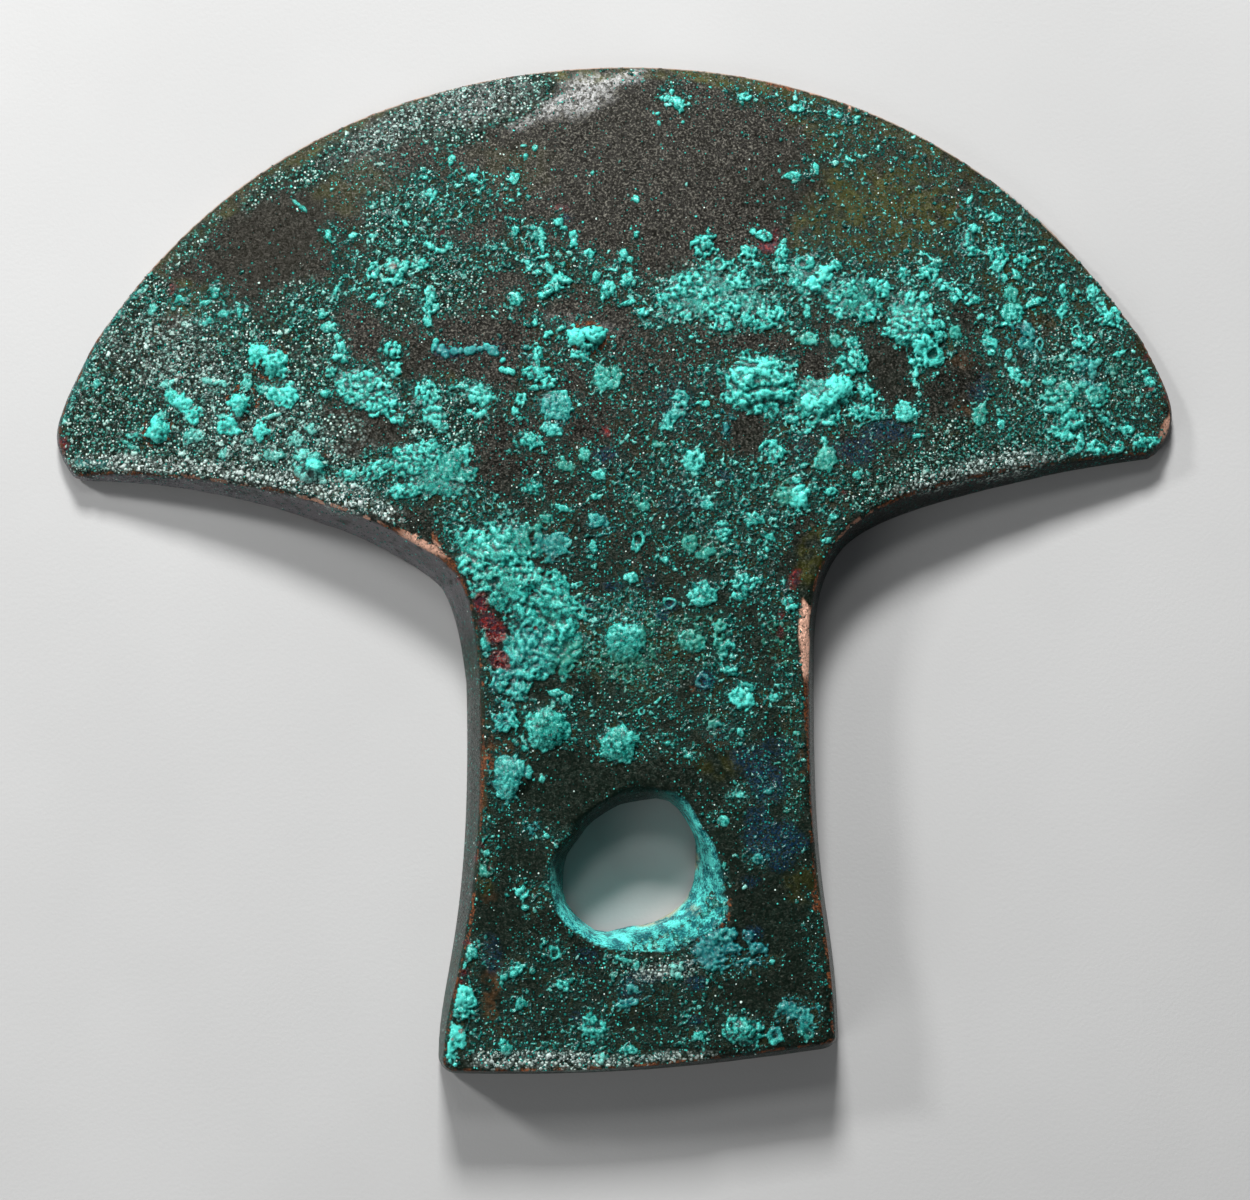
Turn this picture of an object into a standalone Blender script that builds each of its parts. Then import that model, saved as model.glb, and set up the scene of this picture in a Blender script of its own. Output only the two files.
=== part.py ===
"""Copper axe head of one casting: a crescent blade on a waisted tang with one lashing hole.

The head lies on its flat back, with +X to the right, +Y towards the cutting edge and +Z up through
its thickness. The origin is in the middle of its bounding box, on the surface that it lies on.
Sizes here are in millimetres and angles in degrees, and places in the outline are measured from the
centre of the cutting edge's arc, on the blade's axis. The mesh is made in metres.
"""
import math
from collections import namedtuple

import bmesh
import bpy
import numpy as np
from mathutils import Vector
from mathutils.geometry import delaunay_2d_cdt

MILLIMETRE = 0.001

# Cutting edge: an arc that wear has made waver a little
EDGE_RADIUS = 84.4
EDGE_FIRST_ANGLE = 34.3
EDGE_LAST_ANGLE = 147.3
EDGE_WAVER = 0.4
EDGE_WAVER_PERIOD = 66.0
EDGE_WAVER_CREST = 128.0
EDGE_THICKNESS = 0.8
EDGE_LIFT = 0.5
FRONT_BEVEL_WIDTH = 2.3
FRONT_BEVEL_RISE = 1.0
BACK_BEVEL_WIDTH = 3.0

# Body: thickest along the tang, and thinning towards the edge over the taper's length
TANG_THICKNESS = 9.0
TAPER_LENGTH = 56.0
TAPER_FULLNESS = 1.6

# Lower corners of the two wing tips
LEFT_WING_REACH = 72.7
LEFT_TIP_RISE = 28.0
RIGHT_WING_REACH = 70.3
RIGHT_TIP_RISE = 31.6

# Shoulders, where the underside of each wing turns into the tang
LEFT_SHOULDER_REACH = 22.2
LEFT_SHOULDER_RISE = 14.4
RIGHT_SHOULDER_REACH = 27.8
RIGHT_SHOULDER_RISE = 20.0

# Tang: waisted at the neck and flared to the butt, which is cut a little askew
NECK_WIDTH = 42.6
NECK_OFFSET = 2.0
NECK_RISE = 1.2
BUTT_WIDTH = 50.5
BUTT_OFFSET = 1.25
BUTT_DROP = 47.5
BUTT_SKEW = 3.3
LEFT_BUTT_CORNER = 1.5
RIGHT_BUTT_CORNER = 0.9

# Lashing hole, punched through from the front, where it is wider, and left ragged
HOLE_CENTRE = (0.6, -23.0)
HOLE_FRONT_RADII = (10.7, 9.6, 10.5, 9.8, 9.0, 8.8, 10.6, 11.1, 10.8, 10.9, 11.8, 13.7)
HOLE_BACK_RADII = (8.3, 9.1, 9.7, 8.2, 7.6, 7.7, 8.8, 9.8, 9.7, 7.8, 7.8, 8.2)
HOLE_THROAT_SHARE = 0.35
HOLE_THROAT_HEIGHT = 0.55

# Sides of the casting: they spread towards the back, with a faint ridge along them
RIDGE_HEIGHT = 0.42
RIDGE_SPREAD = 0.66

# Lumps of crust that stand out from a step away
Lump = namedtuple("Lump", "x y width length turn height")
LUMPS = (
    Lump(-17.3, 12.0, 11.5, 15.0, 25.0, 0.6),
    Lump(17.2, 40.1, 9.8, 7.8, 0.0, 0.7),
    Lump(26.8, 38.6, 8.0, 4.4, 32.0, 1.1),
    Lump(38.1, 47.3, 7.8, 6.5, -20.0, 0.8),
    Lump(-5.4, 46.0, 4.5, 3.9, 0.0, 1.0),
    Lump(-0.4, 7.1, 7.2, 7.2, 0.0, 0.6),
    Lump(-10.9, -5.0, 5.9, 5.9, 0.0, 0.8),
    Lump(-1.4, -7.1, 5.5, 5.5, 0.0, 0.7),
    Lump(-15.1, -11.6, 5.3, 5.3, 0.0, 0.7),
    Lump(-47.2, 43.2, 4.4, 5.2, 30.0, 1.0),
    Lump(-50.7, 37.3, 3.9, 5.2, -20.0, 1.0),
    Lump(-41.5, 28.9, 5.2, 4.4, 0.0, 0.9),
    Lump(-61.9, 34.0, 3.4, 4.4, 0.0, 0.8),
    Lump(14.5, -44.0, 5.2, 3.9, 0.0, 0.6),
    Lump(60.8, 38.0, 9.1, 7.2, 20.0, 0.5),
)

# How finely the surface is divided
LONGEST_CHORD = 2.2
CURVE_TOLERANCE = 0.025
FRONT_SPACING = 3.2
BACK_SPACING = 9.0
HOLE_POINT_COUNT = 36
LUMP_RINGS = ((0.5, 6), (1.0, 10))

# Patina
PATINA_COLOUR = (0.055, 0.075, 0.05, 1.0)
PATINA_ROUGHNESS = 0.5
PATINA_METALLIC = 0.6


def direction(angle):
    """Unit vector at an angle from +X towards +Y."""
    return np.array([math.cos(math.radians(angle)), math.sin(math.radians(angle))])


def edge_radius(angle):
    """Radius of the cutting edge at an angle in degrees."""
    return EDGE_RADIUS + EDGE_WAVER * math.cos(math.tau * (angle - EDGE_WAVER_CREST) / EDGE_WAVER_PERIOD)


def depth_behind_edge(x, y):
    """How far a point lies behind the cutting edge, towards the butt."""
    rise = max(y, 0.0)
    return edge_radius(math.degrees(math.atan2(rise, x))) - math.hypot(x, rise)


def lump_height(x, y):
    """Height of the crust at a point, from the lump that reaches highest there."""
    highest = 0.0
    for lump in LUMPS:
        across = np.array([x - lump.x, y - lump.y])
        along_width = across @ direction(lump.turn) / (lump.width / 2)
        along_length = across @ direction(lump.turn + 90) / (lump.length / 2)
        fall = along_width ** 2 + along_length ** 2
        highest = max(highest, lump.height * (1 - fall))
    return highest


def front_height(x, y):
    """Height of the front face, without its crust."""
    depth = max(depth_behind_edge(x, y), 0.0)
    rim = EDGE_LIFT + EDGE_THICKNESS
    if depth < FRONT_BEVEL_WIDTH:
        return rim + FRONT_BEVEL_RISE * depth / FRONT_BEVEL_WIDTH
    bevel_top = rim + FRONT_BEVEL_RISE
    share = min((depth - FRONT_BEVEL_WIDTH) / (TAPER_LENGTH - FRONT_BEVEL_WIDTH), 1.0)
    return bevel_top + (TANG_THICKNESS - bevel_top) * (1 - (1 - share) ** TAPER_FULLNESS)


def back_height(x, y):
    """Height of the back: flat on the ground, and lifted at the cutting edge by a narrow bevel."""
    depth = max(depth_behind_edge(x, y), 0.0)
    return EDGE_LIFT * max(1 - depth / BACK_BEVEL_WIDTH, 0.0)


def curve_points(first, first_pull, last_pull, last):
    """Points along a cubic curve, its start included and its end left out."""
    chord = last - first
    length = max(np.linalg.norm(chord), 1e-9)
    normal = np.array([-chord[1], chord[0]]) / length
    bow = max(abs((first_pull - first) @ normal), abs((last_pull - first) @ normal))
    if length <= LONGEST_CHORD and bow <= CURVE_TOLERANCE:
        return [first]
    left, centre, right = (first + first_pull) / 2, (first_pull + last_pull) / 2, (last_pull + last) / 2
    left_centre, right_centre = (left + centre) / 2, (centre + right) / 2
    middle = (left_centre + right_centre) / 2
    return (curve_points(first, left, left_centre, middle)
            + curve_points(middle, right_centre, right, last))


# One stretch of the outline, run anticlockwise. It leaves its first corner and arrives at its last one
# along the given angles, drawn out by the given pulls. The spread is how far the side leans out for each
# millimetre of height, at its start and end, and the belly is added to it halfway.
Stretch = namedtuple("Stretch", "first leave leave_pull last arrive arrive_pull spread belly")


def outline_stretches():
    """The outline from the butt's right corner round to its start, without the cutting edge."""
    right_tip = np.array([RIGHT_WING_REACH, RIGHT_TIP_RISE])
    left_tip = np.array([-LEFT_WING_REACH, LEFT_TIP_RISE])
    edge_first = edge_radius(EDGE_FIRST_ANGLE) * direction(EDGE_FIRST_ANGLE)
    edge_last = edge_radius(EDGE_LAST_ANGLE) * direction(EDGE_LAST_ANGLE)
    right_shoulder = np.array([RIGHT_SHOULDER_REACH, RIGHT_SHOULDER_RISE])
    left_shoulder = np.array([-LEFT_SHOULDER_REACH, LEFT_SHOULDER_RISE])
    right_neck = np.array([NECK_OFFSET + NECK_WIDTH / 2, NECK_RISE])
    left_neck = np.array([NECK_OFFSET - NECK_WIDTH / 2, NECK_RISE])
    right_end = BUTT_OFFSET + BUTT_WIDTH / 2
    left_end = BUTT_OFFSET - BUTT_WIDTH / 2
    right_drop = BUTT_DROP - BUTT_SKEW / 2
    left_drop = BUTT_DROP + BUTT_SKEW / 2
    right_corner_below = np.array([right_end - RIGHT_BUTT_CORNER, -right_drop])
    right_corner_beside = np.array([right_end, RIGHT_BUTT_CORNER - right_drop])
    left_corner_below = np.array([left_end + LEFT_BUTT_CORNER, -left_drop])
    left_corner_beside = np.array([left_end, LEFT_BUTT_CORNER - left_drop])
    before_edge = (
        Stretch(right_corner_below, 8, RIGHT_BUTT_CORNER / 2, right_corner_beside, 90, RIGHT_BUTT_CORNER / 2,
                (0.16, 0.16), 0.0),
        Stretch(right_corner_beside, 92, 18.5, right_neck, 90, 32.0, (0.16, 0.18), 0.0),
        Stretch(right_neck, 90, 9.0, right_shoulder, 49, 6.0, (0.18, 0.17), 0.0),
        Stretch(right_shoulder, 49, 8.0, right_tip, 5, 20.7, (0.17, 0.12), 0.1),
        Stretch(right_tip, 45, 7.6, edge_first, 112, 6.1, (0.12, 0.1), 0.1),
    )
    after_edge = (
        Stretch(edge_last, 247, 11.2, left_tip, 305, 7.5, (0.1, 0.15), 0.1),
        Stretch(left_tip, 2, 30.3, left_shoulder, 298, 4.5, (0.15, 0.3), 0.03),
        Stretch(left_shoulder, 298, 4.0, left_neck, 275, 5.0, (0.3, 0.24), 0.0),
        Stretch(left_neck, 272, 32.0, left_corner_beside, 267, 10.5, (0.24, 0.09), 0.05),
        Stretch(left_corner_beside, 270, LEFT_BUTT_CORNER / 2, left_corner_below, 359, LEFT_BUTT_CORNER / 2,
                (0.09, 0.12), 0.0),
        Stretch(left_corner_below, 359, 22.2, right_corner_below, 8, 14.9, (0.12, 0.16), 0.0),
    )
    return before_edge, after_edge


def stretch_points(stretch):
    """Points of one stretch, each with how far the side leans out there."""
    first_pull = stretch.first + stretch.leave_pull * direction(stretch.leave)
    last_pull = stretch.last - stretch.arrive_pull * direction(stretch.arrive)
    points = curve_points(stretch.first, first_pull, last_pull, stretch.last)
    steps = [np.linalg.norm(b - a) for a, b in zip(points, points[1:] + [stretch.last])]
    gone = 0.0
    leans = []
    for step in steps:
        share = gone / sum(steps)
        lean = stretch.spread[0] + (stretch.spread[1] - stretch.spread[0]) * share
        leans.append(lean + stretch.belly * math.sin(math.pi * share))
        gone += step
    return points, leans


def edge_points():
    """Points of the cutting edge, whose side stands upright."""
    sweep = EDGE_LAST_ANGLE - EDGE_FIRST_ANGLE
    steps = math.ceil(math.radians(sweep) * EDGE_RADIUS / LONGEST_CHORD)
    angles = [EDGE_FIRST_ANGLE + sweep * i / steps for i in range(steps)]
    return [edge_radius(angle) * direction(angle) for angle in angles], [0.0] * steps


def outline():
    """The front rim's points anticlockwise, and how far the side leans out at each."""
    before_edge, after_edge = outline_stretches()
    pieces = [stretch_points(stretch) for stretch in before_edge]
    pieces.append(edge_points())
    pieces.extend(stretch_points(stretch) for stretch in after_edge)
    points = [point for piece in pieces for point in piece[0]]
    leans = [lean for piece in pieces for lean in piece[1]]
    return np.array(points), np.array(leans)


def outward_normals(points):
    """Outward unit normal at each point of an anticlockwise loop."""
    along = np.roll(points, -1, axis=0) - np.roll(points, 1, axis=0)
    along /= np.linalg.norm(along, axis=1)[:, None]
    return np.stack([along[:, 1], -along[:, 0]], axis=1)


def hole_loop(radii):
    """Loop round the hole through radii at even angles, joined smoothly."""
    count = len(radii)
    points = []
    for step in range(HOLE_POINT_COUNT):
        place = step * count / HOLE_POINT_COUNT
        index = int(place)
        share = place - index
        ease = share * share * (3 - 2 * share)
        radius = radii[index] * (1 - ease) + radii[(index + 1) % count] * ease
        points.append(np.array(HOLE_CENTRE) + radius * direction(360 * step / HOLE_POINT_COUNT))
    return np.array(points)


def is_inside(points, loop):
    """Which of the points lie inside a closed loop."""
    start, end = loop, np.roll(loop, -1, axis=0)
    x, y = points[:, 0][:, None], points[:, 1][:, None]
    straddles = (start[None, :, 1] > y) != (end[None, :, 1] > y)
    rise = np.where(end[:, 1] == start[:, 1], 1.0, end[:, 1] - start[:, 1])
    crossing = start[None, :, 0] + (y - start[None, :, 1]) * ((end[:, 0] - start[:, 0]) / rise)[None, :]
    return ((x < crossing) & straddles).sum(axis=1) % 2 == 1


def distance_to(points, loop):
    """Distance from each point to the nearest side of a closed loop."""
    start = loop[None, :, :]
    side = (np.roll(loop, -1, axis=0) - loop)[None, :, :]
    share = ((points[:, None, :] - start) * side).sum(axis=2) / np.maximum((side ** 2).sum(axis=2), 1e-12)
    nearest = start + np.clip(share, 0, 1)[:, :, None] * side
    return np.linalg.norm(points[:, None, :] - nearest, axis=2).min(axis=1)


def hexagonal_grid(spacing, loop):
    """Evenly spaced points over the loop's box."""
    low, high = loop.min(axis=0), loop.max(axis=0)
    row_height = spacing * math.sqrt(0.75)
    points = []
    for row in range(int((high[1] - low[1]) / row_height) + 1):
        shift = spacing / 2 if row % 2 else 0.0
        for column in range(int((high[0] - low[0]) / spacing) + 1):
            points.append((low[0] + shift + column * spacing, low[1] + row * row_height))
    return np.array(points)


def bevel_points(width):
    """Points along the inner line of a bevel of the given width."""
    angles = np.linspace(0, 180, int(math.pi * EDGE_RADIUS / LONGEST_CHORD))
    return np.array([(edge_radius(angle) - width) * direction(angle) for angle in angles])


def lump_points():
    """Centre and rings of every lump."""
    points = []
    for lump in LUMPS:
        points.append((lump.x, lump.y))
        for share, count in LUMP_RINGS:
            for step in range(count):
                turn = 360 * step / count
                along_width = math.cos(math.radians(turn)) * share * lump.width / 2
                along_length = math.sin(math.radians(turn)) * share * lump.length / 2
                place = along_width * direction(lump.turn) + along_length * direction(lump.turn + 90)
                points.append((lump.x + place[0], lump.y + place[1]))
    return np.array(points)


def face_points(spacing, rim, hole, placed):
    """Inner points of a face: the placed ones, and a grid that keeps clear of them and of both rims."""
    clear = spacing / 3
    inner = []
    for candidates, keep_off in ((placed, 0.0), (hexagonal_grid(spacing, rim), spacing * 0.45)):
        good = is_inside(candidates, rim) & ~is_inside(candidates, hole)
        good &= (distance_to(candidates, rim) > clear) & (distance_to(candidates, hole) > clear)
        for point in candidates[good]:
            if not inner or np.linalg.norm(np.array(inner) - point, axis=1).min() > max(keep_off, 0.3):
                inner.append(point)
    return np.array(inner)


def add_face(mesh, spacing, rim, hole, placed, height):
    """Triangulates one face between its rims and returns the two rims' vertices in order."""
    inner = face_points(spacing, rim, hole, placed)
    flat = [Vector(point) for point in np.concatenate([rim, hole, inner])]
    rim_count, hole_count = len(rim), len(hole)
    rim_sides = [(i, (i + 1) % rim_count) for i in range(rim_count)]
    hole_sides = [(rim_count + i, rim_count + (i + 1) % hole_count) for i in range(hole_count)]
    places, _, triangles, sources, _, _ = delaunay_2d_cdt(flat, rim_sides + hole_sides, [], 1, 1e-6)
    vertices = [mesh.verts.new((place.x, place.y, height(place.x, place.y))) for place in places]
    for triangle in triangles:
        middle = np.mean([places[i] for i in triangle], axis=0)
        if not is_inside(middle[None, :], hole)[0]:
            mesh.faces.new([vertices[i] for i in triangle])
    vertex_of = {source: vertex for vertex, origin in zip(vertices, sources) for source in origin}
    rim_vertices = [vertex_of[i] for i in range(rim_count)]
    hole_vertices = [vertex_of[rim_count + i] for i in range(hole_count)]
    return rim_vertices, hole_vertices


def bridge(mesh, one_ring, other_ring):
    """Joins two rings of as many vertices with pairs of triangles."""
    count = len(one_ring)
    for i in range(count):
        j = (i + 1) % count
        mesh.faces.new((one_ring[i], one_ring[j], other_ring[j]))
        mesh.faces.new((one_ring[i], other_ring[j], other_ring[i]))


def ring_between(mesh, front_ring, back_ring, height_share, spread_share):
    """Ring between the front and back rims: a share of the height above the back, and of the way out to it."""
    ring = []
    for front, back in zip(front_ring, back_ring):
        place = front.co.lerp(back.co, spread_share)
        place.z = back.co.z + (front.co.z - back.co.z) * height_share
        ring.append(mesh.verts.new(place))
    return ring


def axe_head_mesh():
    """The closed casting in millimetres, about the centre of the cutting edge's arc."""
    front_rim, leans = outline()
    wall_heights = np.array([front_height(*point) - back_height(*point) for point in front_rim])
    back_rim = front_rim + outward_normals(front_rim) * (leans * wall_heights)[:, None]
    mesh = bmesh.new()
    front_placed = np.concatenate([bevel_points(FRONT_BEVEL_WIDTH), lump_points()])
    front_outer, front_hole = add_face(mesh, FRONT_SPACING, front_rim, hole_loop(HOLE_FRONT_RADII), front_placed,
                                       lambda x, y: front_height(x, y) + lump_height(x, y))
    back_outer, back_hole = add_face(mesh, BACK_SPACING, back_rim, hole_loop(HOLE_BACK_RADII),
                                     bevel_points(BACK_BEVEL_WIDTH), back_height)
    ridge = ring_between(mesh, front_outer, back_outer, RIDGE_HEIGHT, RIDGE_SPREAD)
    throat = ring_between(mesh, front_hole, back_hole, HOLE_THROAT_HEIGHT, 1 - HOLE_THROAT_SHARE)
    for rings in ((front_outer, ridge, back_outer), (front_hole, throat, back_hole)):
        bridge(mesh, rings[0], rings[1])
        bridge(mesh, rings[1], rings[2])
    bmesh.ops.recalc_face_normals(mesh, faces=mesh.faces)
    return mesh


def patina_material():
    """Dark patinated copper."""
    material = bpy.data.materials.new("patinated_copper")
    material.use_nodes = True
    shader = material.node_tree.nodes["Principled BSDF"]
    shader.inputs["Base Color"].default_value = PATINA_COLOUR
    shader.inputs["Roughness"].default_value = PATINA_ROUGHNESS
    shader.inputs["Metallic"].default_value = PATINA_METALLIC
    return material


def add_axe_head():
    """Makes the axe head with its origin at the middle of its underside's bounding box."""
    mesh = axe_head_mesh()
    places = np.array([vertex.co for vertex in mesh.verts])
    middle = (places.min(axis=0) + places.max(axis=0)) / 2
    for vertex in mesh.verts:
        vertex.co = (vertex.co - Vector((middle[0], middle[1], places[:, 2].min()))) * MILLIMETRE
    data = bpy.data.meshes.new("axe_head")
    mesh.to_mesh(data)
    mesh.free()
    data.materials.append(patina_material())
    head = bpy.data.objects.new("axe_head", data)
    bpy.context.scene.collection.objects.link(head)


def main():
    for thing in list(bpy.data.objects):
        bpy.data.objects.remove(thing)
    add_axe_head()


main()
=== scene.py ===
"""Looks of the copper axe head: its patinated metal, and the malachite crust that has grown on its front.

The head lies on its back, with +X to the right, +Y towards the cutting edge and +Z up through its
thickness. Places and sizes here are in millimetres and angles in degrees. Meshes are made in metres.
"""

import math
from collections import namedtuple

import bmesh
import bpy
import numpy as np
from mathutils import Matrix, Vector
from mathutils.geometry import delaunay_2d_cdt
from mathutils.kdtree import KDTree

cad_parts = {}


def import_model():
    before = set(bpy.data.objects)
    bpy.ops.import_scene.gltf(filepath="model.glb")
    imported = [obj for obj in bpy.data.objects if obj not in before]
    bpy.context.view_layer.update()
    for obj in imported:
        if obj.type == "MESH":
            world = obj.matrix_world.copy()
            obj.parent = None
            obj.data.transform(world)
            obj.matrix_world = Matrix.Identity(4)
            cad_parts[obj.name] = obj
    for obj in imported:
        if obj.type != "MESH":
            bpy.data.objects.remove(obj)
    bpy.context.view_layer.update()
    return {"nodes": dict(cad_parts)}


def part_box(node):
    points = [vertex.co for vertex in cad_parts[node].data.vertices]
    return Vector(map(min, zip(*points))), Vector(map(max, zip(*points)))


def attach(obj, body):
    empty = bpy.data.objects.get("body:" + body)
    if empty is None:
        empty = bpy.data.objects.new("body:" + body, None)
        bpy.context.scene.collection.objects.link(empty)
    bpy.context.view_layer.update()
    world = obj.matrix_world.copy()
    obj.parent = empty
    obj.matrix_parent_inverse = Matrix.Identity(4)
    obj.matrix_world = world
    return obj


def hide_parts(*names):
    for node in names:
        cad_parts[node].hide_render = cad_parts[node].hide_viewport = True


MILLIMETRE = 0.001
SEED = 7

# Camera: the photograph looks down on the front from a little below and to the left of its middle
CAMERA_PLACE = (-15.78, -31.35, 389.0)
CAMERA_TARGET = (0.469, -5.349, 9.0)
CAMERA_LENS = 84.46
CAMERA_SENSOR = 36.0
CAMERA_NEAR = 10.0

# Soft boxes: name, place, size and power in watts. All look at one point.
LIGHTS = (
    ("key_softbox", (-60, 610, 410), (160, 130), 7.6),
    ("left_softbox", (-520, 330, 360), (90, 90), 2.3),
    ("blade_softbox", (-80, 400, 606), (190, 130), 0.75),
    ("fill_softbox", (-400, -330, 260), (300, 300), 0.9),
)
LIGHT_TARGET = (0, 0, 5)
SKY_COLOUR = (0.9, 0.95, 1.0)
SKY_STRENGTH = 0.08

# Floor, a little under the head
FLOOR_RADIUS = 3000.0
FLOOR_GAP = 0.2

# Arc of the cutting edge, whose centre is the source of the blade's curves
ARC_CENTRE = (1.094, -16.854)
EDGE_RADIUS = 84.4
EDGE_WAVER = 0.4
EDGE_WAVER_PERIOD = 66.0
EDGE_WAVER_CREST = 128.0
BEVEL_WIDTH = 2.3

# Grid that the crust is worked out on
GRID_STEP = 0.14
GRID_MARGIN = 1.0

# Slices that pair each point of the grid with the next one, and each cell with its four corners
BEFORE, AFTER, ALL = slice(None, -1), slice(1, None), slice(None)
NEIGHBOURS_IN_Y = (((AFTER, ALL), (BEFORE, ALL)), ((BEFORE, ALL), (AFTER, ALL)))
NEIGHBOURS_IN_X = (((ALL, AFTER), (ALL, BEFORE)), ((ALL, BEFORE), (ALL, AFTER)))
CELL_CORNERS = tuple((rows, columns) for rows in (BEFORE, AFTER) for columns in (BEFORE, AFTER))

# How far the second lattice of the noise is turned against the first, in radians
LATTICE_TURN = 0.9

# How steeply a face rises that the grid covers, and one that belongs to the flat front
COVERED_SLOPE = 0.42
FRONT_SLOPE = 0.8

# Round grains: the width of the cell that holds one, and its least and greatest radius
Grain = namedtuple("Grain", "cell least most")
NODULES = Grain(0.78, 0.32, 0.55)
PEBBLES = Grain(0.46, 0.2, 0.34)
COARSE_GRAINS = Grain(0.95, 0.22, 0.46)
MIDDLE_GRAINS = Grain(0.6, 0.16, 0.32)
FINE_GRAINS = Grain(0.42, 0.12, 0.22)

# Fullness and steepness of the tops of flat, nodular and smooth forms
FLAT_TOP = (4, 0.6)
NODULAR_TOP = (2.6, 0.55)
ROUND_TOP = (2.3, 0.55)

# Crust lower than this isn't modelled. Its outline dips into the metal, and it stays near the solid's height.
LEAST_HEIGHT = 0.03
SKIRT_DEPTH = 0.14
CRUST_ABOVE_SOLID = 0.25

# Borders between the pieces of crust: two in x on the blade, and one in y across the neck
LEFT_BORDER = -14.5
RIGHT_BORDER = 22.5
NECK_BORDER = 5.0

# Where a look comes in, from the start of a span to its end: along x
# Painted shade: the crust's solid forms grow darker over this span towards the left wing
PAINTED_SHADE_CRUST_SPAN = (-30, -46)
FADED_SPAN = (18, 38)
# Painted light: side faces turn pale grey over this span towards the left
PAINTED_LIT_WALL_SPAN = (12, -12)
# Painted shade: side faces turn near black over this span towards the right
PAINTED_SHADED_WALL_SPAN = (12, 24)

# The same along y, and for the line of the cutting edge along y from the arc's centre
# Painted light: the crust grows lighter over this span towards the blade
PAINTED_LIGHT_CRUST_SPAN = (0, 20)
BROWN_SPAN = (-12, 28)
WALL_SPAN = (-14, -2)
EDGE_LINE_SPAN = (44.0, 54.0)

# How far from the cutting edge its line of worn copper and painted rim highlight begins, and how far from it
# the line is full
EDGE_LINE_WIDTH = 0.55
EDGE_LINE_FULL = 0.3

# Shares of the front, as maps
Ground = namedtuple("Ground", "fresh dull bare density dullness")

# Lumps narrower than this are crumbly
SMALL_LUMP = 2.2

# How far a zone of the front reaches down a side face
RIM_REACH = {"copper": 0.9, "rust": 0.9, "sand": 6.0, "coat": 6.0}

# Worn rims: how sharply two faces meet at one, the step between its places, its width and rounds of wear
SHARP_ANGLE = 32.0
RIM_STEP = 0.2
RIM_WIDTH = 0.45
WEAR_ROUNDS = 4

# Middle of the hole, how far from it its coated wall reaches, and the share of the wall that grains cover
HOLE_CENTRE = (1.4, -40.6)
HOLE_REACH = 12.0
HOLE_WALL_DENSITY = 0.4

# Way from the middle of the hole to where the coat on its wall is thickest
COAT_SIDE = (0.5, -0.85)

# Half width, and lowest and highest y, of the ground about the hole whose slopes are coated
HOLE_GROUND = (16, -53, -29)

# Rings wider than this have crust inside them
WIDE_RING = 2.5

# Crest of a ring, half its breadth and the hollow of a small one, as shares of the way to its outline
RING_CREST = 0.72
RING_HALF_BREADTH = 0.32
RING_HOLLOW = 0.6

# Greatest height of the crust in the hollow of a small ring, and least height that a crease leaves
HOLLOW_HEIGHT = 0.05
CREASED_HEIGHT = 0.06

# Step from one nodule of a chain to the next, as a share of its width, and how far each strays
CHAIN_STEP = 0.7
CHAIN_STRAY = 0.12

# Width of the ring of loose grains about each lump, both sides together
HALO_WIDTH = 2.4

# How finely the metal is divided on its front, back and sides
FRONT_EDGE = 0.95
BACK_EDGE = 1.8
SIDE_EDGE = 1.2

# A patch is an oval whose length lies along +Y before it is turned. Its amount is a height or a share.
Patch = namedtuple("Patch", "x y width length amount turn", defaults=(0,))


def patches(*rows):
    """Patches from rows of place, size, amount and, for a turned one, its turn."""
    return tuple(Patch(*row) for row in rows)


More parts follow.
